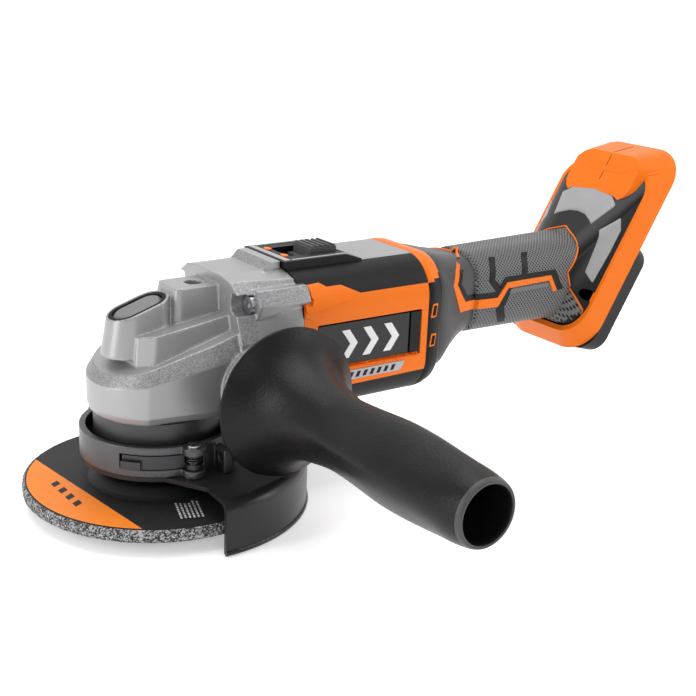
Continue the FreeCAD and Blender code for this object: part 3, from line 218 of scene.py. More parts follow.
def lathe(name, outline, around=128, place=lambda x, y, a: Vector((x, y, a))):
    """Turns a closed (radius, height) outline in millimetres about an axis."""
    points = []
    for i in range(around):
        turn = 2 * pi * i / around
        points += [place(r * cos(turn) * MM, r * sin(turn) * MM, a * MM) for r, a in outline]
    count = len(outline)
    faces = []
    for i in range(around):
        for j in range(count):
            k = (j + 1) % count
            m = (i + 1) % around
            faces.append((i * count + j, i * count + k, m * count + k, m * count + j))
    return shape(name, points, faces)


def softened(thing, width, segments=2, angle=32):
    """Rounds the hard edges of a piece by a bevel."""
    bevel = thing.modifiers.new("edges", "BEVEL")
    bevel.width = width * MM
    bevel.segments = segments
    bevel.limit_method = "ANGLE"
    bevel.angle_limit = radians(angle)
    bevel.harden_normals = True
    for face in thing.data.polygons:
        face.use_smooth = True
    return thing


wheel_low, wheel_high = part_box("grinding_wheel")
wheel_r = wheel_high.x / MM
rim_low = wheel_low.z / MM
hub_high = wheel_high.z / MM
rim_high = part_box("wheel_label")[0].z / MM
hub_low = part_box("wheel_bush")[0].z / MM
bore_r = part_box("wheel_bush")[1].x / MM + 0.02
wheel = lathe("grinding_wheel_body", [
    (bore_r, hub_low), (22.0, hub_low), (27.0, rim_low + 0.2), (40.0, rim_low), (52.0, rim_low),
    (wheel_r - 1.1, rim_low), (wheel_r - 0.35, rim_low + 0.5), (wheel_r - 0.15, rim_low + 1.6),
    (wheel_r - 0.15, rim_low + 3.0), (wheel_r - 0.15, rim_high - 1.6),
    (wheel_r - 0.35, rim_high - 0.5), (wheel_r - 1.1, rim_high), (52.0, rim_high),
    (32.4, rim_high), (30.6, rim_high + 1.2), (28.4, hub_high - 0.4), (27.0, hub_high),
    (bore_r, hub_high)], around=360)
for vertex in wheel.data.vertices:
    rub = noise.noise(vertex.co * 900) * 0.22 * MM
    if hypot(vertex.co.x, vertex.co.y) > (wheel_r - 1.5) * MM:
        vertex.co += Vector((vertex.co.x, vertex.co.y, 0)).normalized() * min(rub, 0.1 * MM)
grain = surface("abrasive_grain", (0.09, 0.09, 0.09), (0.14, 0.14, 0.14), 0.85, grain=1400,
                depth=0.9, reach=0.0006)
speckle(grain, 1500, 0.35, 0.95, (0.035, 0.035, 0.036), (0.42, 0.42, 0.42))
dress(wheel, grain)
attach(wheel, "spindle")
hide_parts("grinding_wheel")

# The label is printed blotter paper bonded to the wheel: black, with an orange segment, plain
# bars where the maker's words would stand, and rows of small bars in place of the small print.
paper = surface("label_paper", (0.012, 0.012, 0.013), (0.022, 0.022, 0.023), 0.5, grain=2600,
                depth=0.12, patch=220)
orange_ink = surface("label_orange_ink", (0.80, 0.20, 0.015), (0.86, 0.24, 0.03), 0.45,
                     grain=2600, depth=0.1, patch=200)
white_ink = surface("label_white_ink", (0.62, 0.62, 0.6), (0.5, 0.5, 0.48), 0.5, grain=2600)
dress(nodes["wheel_label"], paper)
label_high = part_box("wheel_label")[1]
hub_paper = lathe("label_centre", [
    (14.0, hub_high + 0.05), (26.9, hub_high + 0.05), (28.3, hub_high - 0.3),
    (30.5, rim_high + 1.3), (32.3, rim_high + 0.12), (32.6, rim_high + 0.3),
    (32.3, rim_high + 0.32), (30.6, rim_high + 1.5), (28.4, hub_high - 0.1),
    (27.0, hub_high + 0.25), (14.0, hub_high + 0.25)])
dress(hub_paper, paper)
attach(hub_paper, "spindle")


def slab(name, outline, low, high):
    """Flat plate from an outline of (x, y) points, in millimetres."""
    count = len(outline)
    points = [Vector((x, y, z)) * MM for z in (low, high) for x, y in outline]
    faces = [tuple(range(count)), tuple(range(count, 2 * count))]
    faces += [(i, (i + 1) % count, count + (i + 1) % count, count + i) for i in range(count)]
    return shape(name, points, faces, smooth=False)


ink_low = label_high.z / MM
segment_turns = [135.9 + (236.4 - 135.9) * i / 40 for i in range(41)]
segment = slab("label_segment", [(60.4 * cos(radians(a)), 60.4 * sin(radians(a)))
                                 for a in segment_turns], ink_low - 0.02, ink_low + 0.04)
dress(segment, orange_ink)
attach(segment, "spindle")


def joined(name, things):
    """Puts several meshes into one object."""
    form = bmesh.new()
    for thing in things:
        form.from_mesh(thing.data)
        bpy.data.objects.remove(thing)
    mesh = bpy.data.meshes.new(name)
    form.to_mesh(mesh)
    form.free()
    made = bpy.data.objects.new(name, mesh)
    bpy.context.scene.collection.objects.link(made)
    return made


marks = []
for i in range(4):
    start = -16 + 8 * i
    marks.append(slab("mark", [(-48.5, start), (-44.5, start + 2.2), (-44.5, start + 6.2),
                               (-48.5, start + 4.0)], ink_low + 0.03, ink_low + 0.08))
mark_bars = joined("label_marks", marks)
dress(mark_bars, paper)
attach(mark_bars, "spindle")
random.seed(7)
rows = []
for row in range(6):
    run = -8.0
    while run < 7:
        length = random.uniform(0.8, 2.6)
        x0 = -8.0 + row * 1.9
        turn = radians(-18)
        corners = [(x0, -47 + run), (x0 + 0.9, -47 + run), (x0 + 0.9, -47 + run + length),
                   (x0, -47 + run + length)]
        corners = [(x * cos(turn) - y * sin(turn) + 10, x * sin(turn) + y * cos(turn))
                   for x, y in corners]
        rows.append(slab("row", corners, ink_low - 0.01, ink_low + 0.03))
        run += length + 0.7
small_print = joined("label_rows", rows)
dress(small_print, white_ink)
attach(small_print, "spindle")

# ---------------------------------------------------------------- spindle, flange and lock nut
# Turned and ground steel parts. The nut and the flange are blackened, the rest is bright.
black_steel = surface("blackened_steel", (0.045, 0.045, 0.048), (0.07, 0.07, 0.072), 0.38,
                      metal=0.9, grain=1500, depth=0.08)
bright_steel = surface("ground_steel", (0.55, 0.55, 0.56), (0.48, 0.48, 0.49), 0.25, metal=1.0,
                       grain=1800, depth=0.06)
for name in ("lock_nut", "inner_flange", "guard_latch", "cover_screws", "side_handle_stud"):
    dress(softened(nodes[name], 0.25), black_steel)
for name in ("spindle", "ring_gear", "pinion", "motor_shaft", "spindle_bush", "lock_pin",
             "wheel_bush"):
    dress(nodes[name], bright_steel)

# ---------------------------------------------------------------- bearings and motor
# Chromed ball bearings, a laminated stator with copper coils, and a rotor with plated magnets.
bearing_steel = surface("bearing_steel", (0.62, 0.62, 0.63), (0.55, 0.55, 0.56), 0.18, metal=1.0)
for name in ("spindle_bearing_outer", "spindle_bearing_inner", "front_motor_bearing",
             "rear_motor_bearing", "handle_screws"):
    dress(nodes[name], bearing_steel)
lamination = surface("lamination", (0.2, 0.2, 0.22), (0.27, 0.27, 0.28), 0.5, metal=0.8, grain=2500)
copper = surface("enamelled_copper", (0.6, 0.22, 0.08), (0.5, 0.17, 0.06), 0.3, metal=1.0,
                 grain=1600, depth=0.5)
nickel = surface("nickel_plate", (0.5, 0.48, 0.44), (0.42, 0.4, 0.37), 0.3, metal=1.0)
potting = surface("board_potting", (0.02, 0.09, 0.045), (0.015, 0.07, 0.035), 0.4)
for name, made in (("stator_core", lamination), ("rotor_core", lamination),
                   ("stator_windings", copper), ("terminal_blades", copper),
                   ("rotor_magnets", nickel), ("control_board", potting)):
    dress(nodes[name], made)

# ---------------------------------------------------------------- guard
# A pressed steel pan with a rolled edge, painted satin black, welded under a cast collar.
guard_paint = surface("guard_paint", (0.012, 0.012, 0.013), (0.02, 0.02, 0.021), 0.33, metal=0.2,
                      grain=700, depth=0.1, coat=0.25)
dress(softened(nodes["guard_shell"], 0.5, 3), guard_paint)


def settled(thing):
    """Replaces a piece's mesh by what its modifiers make of it."""
    bpy.context.view_layer.update()
    final = bpy.data.meshes.new_from_object(
        thing.evaluated_get(bpy.context.evaluated_depsgraph_get()))
    thing.modifiers.clear()
    thing.data = final
    for face in final.polygons:
        face.use_smooth = True
    return thing


def cast(thing, voxel, passes, keep):
    """Melts overlapping solids into one skin with rounded edges, as a casting comes out."""
    skin = thing.modifiers.new("skin", "REMESH")
    skin.mode = "VOXEL"
    skin.voxel_size = voxel * MM
    ease = thing.modifiers.new("ease", "SMOOTH")
    ease.factor = 0.5
    ease.iterations = passes
    if keep < 1:
        fewer = thing.modifiers.new("fewer", "DECIMATE")
        fewer.ratio = keep
    return settled(thing)


def copied(name, *sources):
    """New object made of copies of the meshes of some CAD nodes."""
    form = bmesh.new()
    for source in sources:
        form.from_mesh(nodes[source].data)
    bmesh.ops.remove_doubles(form, verts=form.verts, dist=1e-7)
    mesh = bpy.data.meshes.new(name)
    form.to_mesh(mesh)
    form.free()
    made = bpy.data.objects.new(name, mesh)
    bpy.context.scene.collection.objects.link(made)
    return made


collar_metal = surface("collar_casting", (0.07, 0.07, 0.073), (0.11, 0.11, 0.113), 0.36,
                       metal=0.85, grain=900, depth=0.35)
collar = cast(copied("guard_collar_casting", "guard_collar"), 0.32, 4, 0.5)
dress(collar, collar_metal)
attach(collar, "guard")
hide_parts("guard_collar")
dress(nodes["latch_pin"], bright_steel)
dress(nodes["latch_spring"], black_steel)
lock_coil = copied("lock_coil", "lock_spring")
dress(lock_coil, bright_steel)
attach(lock_coil, "tool")
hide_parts("lock_spring")
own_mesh(lock_coil)

# The neck that the guard turns on is a dark coated die casting.
neck_metal = surface("neck_casting", (0.05, 0.05, 0.053), (0.075, 0.075, 0.078), 0.42, metal=0.7,
                     grain=1100, depth=0.15)
dress(nodes["bearing_cover"], neck_metal)

# ---------------------------------------------------------------- gear case
# Die-cast aluminium, bead blasted and lacquered. Draft angles and rounded corners come from the
# die; the sloping shoulder keeps a coarser, speckled skin.
case_metal = surface("blasted_alloy", (0.30, 0.30, 0.305), (0.36, 0.36, 0.365), 0.36, metal=0.55,
                     grain=1500, depth=0.12, patch=25)
coarse_metal = surface("speckled_alloy", (0.24, 0.24, 0.245), (0.30, 0.30, 0.305), 0.45, metal=0.55,
                       grain=1100, depth=0.4)
speckle(coarse_metal, 2200, 0.1, 0.95, (0.19, 0.19, 0.195), (0.33, 0.33, 0.335))
case = cast(copied("gear_case_casting", "gear_case"), 0.5, 3, 0.4)
dress(case, case_metal, coarse_metal)
for face in case.data.polygons:
    slope = face.normal.z
    where = face.center / MM
    if where.z > 58 and 0.3 < slope < 0.9 and hypot(where.x + 17, where.y) > 8:
        face.material_index = 1
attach(case, "tool")
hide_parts("gear_case")
screw_zinc = surface("zinc_plate", (0.6, 0.6, 0.62), (0.5, 0.5, 0.52), 0.22, metal=1.0)
dress(softened(nodes["case_screws"], 0.3), screw_zinc)

# ---------------------------------------------------------------- spindle lock
# An oval zinc button with a dimpled top in a soft black ring.
button_metal = surface("button_metal", (0.16, 0.16, 0.165), (0.2, 0.2, 0.205), 0.4, metal=0.6,
                       grain=1600, depth=0.2)
seal_rubber = surface("seal_rubber", (0.006, 0.006, 0.006), (0.01, 0.01, 0.01), 0.6)
dress(softened(nodes["lock_button"], 0.5, 3), button_metal)
dress(softened(nodes["button_seal"], 0.3), seal_rubber)

# ---------------------------------------------------------------- motor housing
# Glass-filled nylon barrel, spark textured in the mould. The housing, the switch and the small
# inner mouldings share one black.
black_nylon = surface("black_nylon", (0.004, 0.004, 0.0045), (0.008, 0.008, 0.0085), 0.42,
                      grain=1700, depth=0.3)
for name in ("motor_housing", "fan_baffle", "switch_frame", "switch_link", "side_clips",
             "battery_rails", "terminal_block", "microswitch", "fan"):
    dress(softened(nodes[name], 0.35), black_nylon)


def skin_of(*names):
    """Search tree over the surfaces of some CAD pieces."""
    form = bmesh.new()
    for name in names:
        form.from_mesh(bpy.data.objects[name].data if name not in nodes else nodes[name].data)
    tree = BVHTree.FromBMesh(form)
    form.free()
    return tree


def from_left(a, b):
    return Vector((a, -150, b)) * MM, Vector((0, 1, 0))


def from_right(a, b):
    return Vector((a, 150, b)) * MM, Vector((0, -1, 0))


def from_above(a, b):
    return Vector((a, b, 250)) * MM, Vector((0, 0, -1))


def laid(name, tree, outline, seen, high, low=0.4, cell=2.5, edge=0.15):
    """Thin moulding whose outline is given as seen from one side and that follows the surface."""
    form = bmesh.new()
    form.faces.new([form.verts.new((a, b, 0)) for a, b in outline])
    for _ in range(7):
        long = [e for e in form.edges if e.calc_length() > cell]
        if not long:
            break
        bmesh.ops.subdivide_edges(form, edges=long, cuts=1)
        bmesh.ops.triangulate(form, faces=form.faces[:])
    bmesh.ops.triangulate(form, faces=form.faces[:])
    base = form.verts[:]
    lifted = bmesh.ops.extrude_face_region(form, geom=form.faces[:])["geom"]
    lifted = [v for v in lifted if isinstance(v, bmesh.types.BMVert)]
    for group, rise in ((base, -low), (lifted, high)):
        for vertex in group:
            start, way = seen(vertex.co.x, vertex.co.y)
            found = tree.ray_cast(start, way)[0]
            if found is None:
                found = tree.find_nearest(start + way * 130 * MM)[0]
            vertex.co = found - way * rise * MM
    bmesh.ops.recalc_face_normals(form, faces=form.faces)
    mesh = bpy.data.meshes.new(name)
    form.to_mesh(mesh)
    form.free()
    made = bpy.data.objects.new(name, mesh)
    bpy.context.scene.collection.objects.link(made)
    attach(made, "tool")
    return softened(made, edge, 2, 50) if edge else made


def both_sides(name, tree, outline, high, slot, made_of, **more):
    """The same moulding on the left and the right flank."""
    for side, seen in (("left", from_left), ("right", from_right)):
        piece = laid(name + "_" + side, tree, outline, seen, high, **more)
        dress(piece, made_of)


# ---------------------------------------------------------------- side panels
# Orange nylon skins clipped over the barrel. Each carries a faceted relief at the front, a sunk
# window with a dark plate and a clip, and a lower band with a small badge.
orange_nylon = surface("orange_nylon", (0.80, 0.165, 0.006), (0.74, 0.145, 0.004), 0.36,
                       grain=1700, depth=0.15, patch=30)
for name in ("side_panel_left", "side_panel_right", "foot_hood_left", "foot_hood_right"):
    dress(softened(nodes[name], 0.5, 3), orange_nylon)
barrel = skin_of("motor_housing", "side_panel_left", "side_panel_right", "top_cover",
                 "collar_ring", "side_plate_left", "side_plate_right", "side_clips")
both_sides("panel_relief", barrel, [(58.6, 100.5), (69.5, 101.0), (84.0, 92.6), (60, 88.8),
                                    (57.8, 91.0)], 1.1, "orange_plastic", orange_nylon, edge=0.5)
both_sides("panel_relief_low", barrel, [(58.5, 90.0), (84.0, 92.4), (62.0, 85.6), (58.5, 87.0)],
           0.5, "orange_plastic", orange_nylon, edge=0.3)
plate_black = surface("plate_black", (0.008, 0.008, 0.009), (0.013, 0.013, 0.014), 0.3,
                      grain=1400, depth=0.25, coat=0.3)
for name in ("side_plate_left", "side_plate_right"):
    dress(softened(nodes[name], 0.3), plate_black)
plate_white = surface("plate_white", (0.75, 0.75, 0.75), (0.66, 0.66, 0.66), 0.35)
for start in (80.0, 92.5, 105.0):
    both_sides("plate_chevron_%d" % start, barrel,
               [(start, 63.5), (start + 4.5, 63.5), (start + 9.5, 70.5), (start + 4.5, 77.5),
                (start, 77.5), (start + 5.0, 70.5)], 0.35, "plate_plastic", plate_white, edge=0.1)
badge_grey = surface("badge_grey", (0.30, 0.30, 0.31), (0.38, 0.38, 0.39), 0.35, metal=0.4)
both_sides("panel_badge", barrel, [(70, 52.2), (116, 52.2), (118.5, 57.0), (73, 57.0)], 0.4,
           "grey_plastic", badge_grey, edge=0.1)
for i in range(9):
    start = 76 + 4.2 * i
    both_sides("badge_bar_%d" % i, barrel, [(start, 53.2), (start + 1.9, 53.2),
                                            (start + 3.1, 56.0), (start + 1.2, 56.0)], 0.55,
               "black_plastic", black_nylon, edge=0)
both_sides("panel_bead", barrel, [(64, 58.2), (126.5, 58.2), (127.5, 60.2), (64, 60.2)], 0.5,
           "orange_plastic", orange_nylon, edge=0.3)

# ---------------------------------------------------------------- top cover
# Light grey nylon plate let into the top of the barrel behind the switch.
grey_nylon = surface("grey_nylon", (0.27, 0.27, 0.275), (0.32, 0.32, 0.325), 0.4, grain=1700,
                     depth=0.2)
dress(softened(nodes["top_cover"], 0.4), grey_nylon)

# ---------------------------------------------------------------- slide switch
# A black plate with a recess, two orange tell-tales and a grey ribbed thumb pad.
pad_grey = surface("pad_grey", (0.07, 0.07, 0.073), (0.10, 0.10, 0.103), 0.45, grain=1500)
dress(softened(nodes["switch_slider"], 0.35), pad_grey)
switch_top = skin_of("switch_frame", "motor_housing")
frame_edge = surface("switch_edge", (0.30, 0.30, 0.30), (0.36, 0.36, 0.36), 0.35)
for name, outline, lift, made_of, tone in (
        ("switch_band_front", [(58, -16.5), (61, -16.5), (61, 16.5), (58, 16.5)], 0.35, frame_edge,
         "grey_plastic"),
        ("switch_band_left", [(62, -16.8), (95, -16.8), (95, -15.4), (62, -15.4)], 0.35,
         frame_edge, "grey_plastic"),
        ("switch_band_right", [(62, 15.4), (95, 15.4), (95, 16.8), (62, 16.8)], 0.35,
         frame_edge, "grey_plastic")):
    strip = laid(name, switch_top, outline, from_above, lift, edge=0.1)
    dress(strip, made_of)
for name, x, y in (("tell_tale_left", 63.2, -7.5), ("tell_tale_right", 63.2, 7.5)):
    lamp_dot = laid(name, switch_top,
                    [(x + 1.6 * cos(radians(a)), y + 2.6 * sin(radians(a)))
                     for a in range(0, 360, 20)], from_above, 0.6, edge=0.2)
    dress(lamp_dot, orange_nylon)

# ---------------------------------------------------------------- rear collar
# An orange band runs over the shoulder of the barrel. Below it a black ring with slots lets the
# cooling air in, and the neck of the handle comes out of it.
def barrel_ring(x, half_y, half_z, corner, centre, count=160):
    """Points round a rounded rectangle across the barrel, in millimetres."""
    ring = []
    for i in range(count):
        turn = 2 * pi * i / count
        u, v = sin(turn), cos(turn)
        lo, hi = 0.0, 80.0
        for _ in range(26):
            mid = (lo + hi) / 2
            du = max(abs(u) * mid - (half_y - corner), 0)
            dv = max(abs(v) * mid - (half_z - corner), 0)
            if hypot(du, dv) > corner or abs(u) * mid > half_y or abs(v) * mid > half_z:
                hi = mid
            else:
                lo = mid
        ring.append(Vector((x, -u * lo, centre + v * lo)) * MM)
    return ring


def tube(name, rings, capped=False):
    """Skin through rings of points that all have the same count."""
    count = len(rings[0])
    faces = []
    for i in range(len(rings) - 1):
        for j in range(count):
            k = (j + 1) % count
            faces.append((i * count + j, i * count + k, (i + 1) * count + k, (i + 1) * count + j))
    if capped:
        faces.append(tuple(range(count)))
        faces.append(tuple((len(rings) - 1) * count + j for j in range(count)))
    return shape(name, [p for ring in rings for p in ring], faces)


ring_x0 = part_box("collar_ring")[0].x / MM
vent_ring = tube("vent_ring", [
    barrel_ring(ring_x0, 28.0, 30.0, 16, 71), barrel_ring(ring_x0, 33.0, 35.0, 19.5, 71),
    barrel_ring(ring_x0 + 0.6, 33.6, 35.6, 20, 71), barrel_ring(ring_x0 + 4, 33.5, 35.5, 20, 71.2),
    barrel_ring(ring_x0 + 8, 32.6, 34.6, 19.5, 71.6),
    barrel_ring(ring_x0 + 9.5, 31.6, 33.8, 19, 71.8),
    barrel_ring(ring_x0 + 10, 29.5, 32.0, 18, 72), barrel_ring(ring_x0 + 10, 24, 26, 15, 72),
    barrel_ring(ring_x0, 28.0, 30.0, 16, 71)])
dress(vent_ring, black_nylon, orange_nylon)
for face in vent_ring.data.polygons:
    x, z = face.center.x / MM, face.center.z / MM
    if z > 93.5 + 0.45 * (x - ring_x0):
        face.material_index = 1
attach(vent_ring, "tool")
neck_grey = surface("neck_grey", (0.05, 0.05, 0.052), (0.07, 0.07, 0.072), 0.36, grain=1700,
                    depth=0.25)
neck_skin = tube("handle_neck", [
    barrel_ring(ring_x0 + 7, 26, 28, 15, 72), barrel_ring(ring_x0 + 8, 29.0, 31.5, 18, 72),
    barrel_ring(ring_x0 + 18, 27.6, 30.2, 17.5, 72.8),
    barrel_ring(ring_x0 + 26, 23.6, 26.3, 15.5, 74.8),
    barrel_ring(ring_x0 + 34, 20.3, 23.3, 14, 76.5), barrel_ring(ring_x0 + 44, 17.9, 19.9, 12, 78)])
dress(neck_skin, neck_grey)
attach(neck_skin, "tool")
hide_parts("collar_ring")
ring_skin = skin_of("vent_ring")
# The vent slots are not cut: near-black patches laid on the ring are painted shade for the openings.
vent_slot_painted_shade = surface("vent_slot_painted_shade", (0.003, 0.003, 0.003), (0.005, 0.005, 0.005), 0.8)
for i, (low, high) in enumerate(((61.5, 68.0), (76.5, 83.5))):
    both_sides("vent_frame_%d" % i, ring_skin, [(133.6, low), (137.2, low), (138.2, high),
                                               (134.6, high)], 0.3, "orange_plastic",
               orange_nylon)
    both_sides("vent_slot_%d" % i, ring_skin, [(134.5, low + 0.9), (136.6, low + 0.9),
                                              (137.4, high - 0.9), (135.3, high - 0.9)], 0.4,
               "black_plastic", vent_slot_painted_shade, edge=0)

# ---------------------------------------------------------------- handle
# Clamshell of dark nylon. Soft rubber with small domes is moulded over the grip, parted by smooth
# channels, and an orange line follows its edges.
shell_black = surface("shell_black", (0.006, 0.006, 0.0065), (0.011, 0.011, 0.0115), 0.3,
                      grain=1500, depth=0.15, coat=0.2)
for name in ("handle_shell_left", "handle_shell_right"):
    dress(nodes[name], shell_black)
dotted_rubber = surface("dotted_rubber", (0.03, 0.03, 0.031), (0.05, 0.05, 0.051), 0.42)


def dotted(made):
    """Adds rows of small domes, set out on the piece's own flat pattern, with painted shade:
    near-black domes on a grey ground.
    """
    tree = made.node_tree
    shader = tree.nodes["Principled BSDF"]
    flat = tree.nodes.new("ShaderNodeUVMap")
    flat.uv_map = "flat"
    parts = tree.nodes.new("ShaderNodeSeparateXYZ")
    tree.links.new(flat.outputs["UV"], parts.inputs["Vector"])
    waves = []
    for axis, pitch in (("X", 0.021), ("Y", 0.025)):
        scale = tree.nodes.new("ShaderNodeMath")
        scale.operation = "MULTIPLY"
        scale.inputs[1].default_value = 2 * pi / pitch
        wave = tree.nodes.new("ShaderNodeMath")
        wave.operation = "COSINE"
        tree.links.new(parts.outputs[axis], scale.inputs[0])
        tree.links.new(scale.outputs["Value"], wave.inputs[0])
        waves.append(wave)
    product = tree.nodes.new("ShaderNodeMath")
    product.operation = "MULTIPLY"
    tree.links.new(waves[0].outputs["Value"], product.inputs[0])
    tree.links.new(waves[1].outputs["Value"], product.inputs[1])
    dome_relief_and_painted_shade = tree.nodes.new("ShaderNodeMapRange")
    dome_relief_and_painted_shade.interpolation_type = "SMOOTHSTEP"
    dome_relief_and_painted_shade.inputs["From Min"].default_value = 0.05
    dome_relief_and_painted_shade.inputs["From Max"].default_value = 0.75
    tree.links.new(product.outputs["Value"], dome_relief_and_painted_shade.inputs["Value"])
    # Painted shade: dome tops are coloured near black and the ground between them grey, as the lit
    # domes look.
    tone = tree.nodes.new("ShaderNodeMix")
    tone.data_type = "RGBA"
    tone.inputs["A"].default_value = (0.15, 0.15, 0.153, 1)
    tone.inputs["B"].default_value = (0.004, 0.004, 0.004, 1)
    tree.links.new(dome_relief_and_painted_shade.outputs["Result"], tone.inputs["Factor"])
    tree.links.new(tone.outputs["Result"], shader.inputs["Base Color"])
    relief = tree.nodes["Bump"]
    relief.inputs["Strength"].default_value = 0.8
    relief.inputs["Distance"].default_value = 0.0005
    tree.links.new(dome_relief_and_painted_shade.outputs["Result"], relief.inputs["Height"])
    return made


dotted(dotted_rubber)
grip_skin = skin_of("grip_sleeve_left", "grip_sleeve_right", "handle_shell_left",
                    "handle_shell_right")
grip_axis_z = 78.0


def along(stations, turn):
    """Reads a value set out against the angle from the top, the same on both sides."""
    turn = turn if turn <= 180 else 360 - turn
    for (a, low), (b, high) in zip(stations, stations[1:]):
        if turn <= b:
            return low + (high - low) * (turn - a) / (b - a)
    return stations[-1][1]


def on_grip(x, turn, lift):
    way = Vector((0, sin(radians(turn)), -cos(radians(turn))))
    start = Vector((x, 0, grip_axis_z)) * MM - way * 90 * MM
    found = grip_skin.ray_cast(start, way)[0]
    if found is None:
        found = grip_skin.find_nearest(start + way * 70 * MM)[0]
    return found - way * lift * MM


def wrapped(name, front, rear, lift, steps, around):
    """Skin round the handle between two edges, lifted off the surface, with its flat pattern."""
    rings = []
    for i in range(steps + 1):
        ring = []
        for j in range(around):
            turn = 360 * j / around
            a, b = along(front, turn), along(rear, turn)
            rise = lift if 0 < i < steps else -0.3
            ring.append(on_grip(a + (b - a) * min(max((i - 0.5) / (steps - 1), 0), 1), turn, rise))
        rings.append(ring)
    made = tube(name, rings)
    flat = made.data.uv_layers.new(name="flat")
    spans = [0.0]
    for j in range(around):
        spans.append(spans[-1] + (rings[steps // 2][(j + 1) % around] -
                                  rings[steps // 2][j]).length)
    for face in made.data.polygons:
        wrap = any(made.data.loops[k].vertex_index % around == 0 for k in face.loop_indices) and \
            any(made.data.loops[k].vertex_index % around == around - 1 for k in face.loop_indices)
        for k in face.loop_indices:
            index = made.data.loops[k].vertex_index
            column = index % around
            span = spans[around] if wrap and column == 0 else spans[column]
            flat.data[k].uv = (made.data.vertices[index].co.x * 10, span * 10)
    return made


sleeve_front = [(0, 177), (29, 168.5), (63, 158), (93, 165), (107, 166.5), (125, 167),
                (150, 170), (180, 172)]
sleeve_rear = [(0, 257), (15, 254.6), (38, 251.8), (56, 246.3), (73, 240.4), (102, 244.1),
               (115, 246), (135, 246), (180, 238)]
sleeve = wrapped("grip_rubber_skin", sleeve_front, sleeve_rear, 0.3, 60, 160)
dress(sleeve, dotted_rubber)
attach(sleeve, "tool")
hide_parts("grip_sleeve_left", "grip_sleeve_right")
channel_black = surface("channel_rubber", (0.005, 0.005, 0.005), (0.009, 0.009, 0.009), 0.4,
                        grain=900)
for name, outline in (
        ("grip_channel_front", [(188.6, 99.4), (185.2, 94.9), (183.4, 86.0), (189.6, 79.3),
                                (192.4, 81.8), (187.4, 86.6), (189.4, 94.8), (193.4, 99.4)]),
        ("grip_channel_rear", [(211.6, 99.8), (207.5, 94.9), (206.2, 87.0), (210.2, 87.0),
                               (211.7, 94.8), (216.4, 99.8)]),
        ("grip_channel_low", [(190.7, 71.4), (197.4, 80.8), (201, 80.8), (195.2, 70.0), (199.5, 61),
                              (194.5, 60.5), (189.6, 69)]),
        ("grip_border", [(166.9, 97.6), (163, 94), (158.8, 87.8), (167.8, 76.9), (190.0, 76.3),
                         (196.2, 84.0), (227.8, 84.3), (233.2, 75.2), (238.0, 75.5),
                         (231.0, 87.2), (194.8, 87.0), (188.6, 79.4), (169.6, 79.9),
                         (163.2, 87.5), (166.8, 93.2), (170.6, 97.6)])):
    both_sides(name, grip_skin, outline, 0.55, "grip_rubber", channel_black, edge=0.15)
both_sides("grip_stripe", grip_skin, [
    (165.3, 98.2), (159.4, 94.5), (154.3, 88.4), (163.3, 72.0), (190.7, 71.2), (197.2, 80.6),
    (226.5, 81.4), (230.2, 74.8), (233.2, 75.2), (227.8, 84.3), (196.2, 84.0), (190.0, 76.3),
    (167.8, 76.9), (158.8, 87.8), (163, 94), (168.3, 98.2)], 0.95, "orange_plastic",
    orange_nylon, edge=0.3)
bar_grey = surface("bar_grey", (0.12, 0.12, 0.123), (0.16, 0.16, 0.163), 0.4)
both_sides("grip_bar", grip_skin, [(199.4, 80.0), (226.6, 80.4), (227.0, 77.9), (198.4, 77.5)],
           0.7, "grey_plastic", bar_grey)


def line_round(name, stations, turns, lift, radius):
    """Round orange bead that follows an edge of the rubber."""
    cord = bpy.data.curves.new(name, "CURVE")
    cord.dimensions = "3D"
    cord.bevel_depth = radius * MM
    run = cord.splines.new("POLY")
    run.points.add(len(turns) - 1)
    for point, turn in zip(run.points, turns):
        point.co = (*on_grip(along(stations, turn % 360), turn % 360, lift), 1)
    made = bpy.data.objects.new(name, cord)
    bpy.context.scene.collection.objects.link(made)
    dress(made, orange_nylon)
    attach(made, "tool")


line_round("grip_line_rear", sleeve_rear, range(-125, 126, 3), 0.35, 0.5)
line_round("grip_line_front", sleeve_front, range(-30, 31, 3), 0.35, 0.8)

# ---------------------------------------------------------------- foot
# The handle flares into the battery foot. Grey panels are let into its dark nylon skin, and an
# orange hood in two halves closes it above the rails.
flare = skin_of("handle_shell_left", "handle_shell_right", "foot_hood_left", "foot_hood_right")
panel_grey = surface("foot_panel_grey", (0.27, 0.27, 0.275), (0.34, 0.34, 0.345), 0.3,
                     grain=1500, depth=0.2)
top_panel = laid("foot_panel_top", flare, [
    (277.0, 0), (275.8, 15), (273.2, 20.6), (261.7, 14.6), (265.0, 6), (265.6, 0), (265.0, -6),
    (261.7, -14.6), (273.2, -20.6), (275.8, -15)], from_above, 0.8, edge=0.3)
dress(top_panel, panel_grey)
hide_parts("foot_panels")
both_sides("foot_panel_side", flare, [(262.1, 106.0), (271.5, 113.0), (270.2, 106.8),
                                      (263.9, 96.1), (252.9, 78.7), (251.6, 83.9),
                                      (258.1, 97.3)], 0.8, "grey_plastic", panel_grey, edge=0.3)
hood_skin = skin_of("foot_hood_left", "foot_hood_right")
seam_dark = surface("hood_seam", (0.05, 0.012, 0.002), (0.08, 0.02, 0.003), 0.7)
hood_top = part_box("foot_hood_left")[1]
seam = laid("hood_seam_line", hood_skin, [(280.5, -0.2), (hood_top.x / MM - 6, -0.2),
                                          (hood_top.x / MM - 6, 0.2), (280.5, 0.2)],
            from_above, 0.12, low=0.2, edge=0)
dress(seam, seam_dark)
crease = laid("hood_crease", hood_skin, [
    (283.2, 0), (283.2, 12.5), (286.0, 25.8), (296.5, 30.0), (296.8, 28.9), (287.0, 24.9),
    (284.7, 12.0), (284.7, -12.0), (287.0, -24.9), (296.8, -28.9), (296.5, -30.0),
    (286.0, -25.8), (283.2, -12.5)], from_above, 0.7, edge=0.35)
dress(crease, orange_nylon)
rail_skin = skin_of("battery_rails")
foot_x, foot_z = 247, 39
along_foot, across_foot = 0.515, 0.857
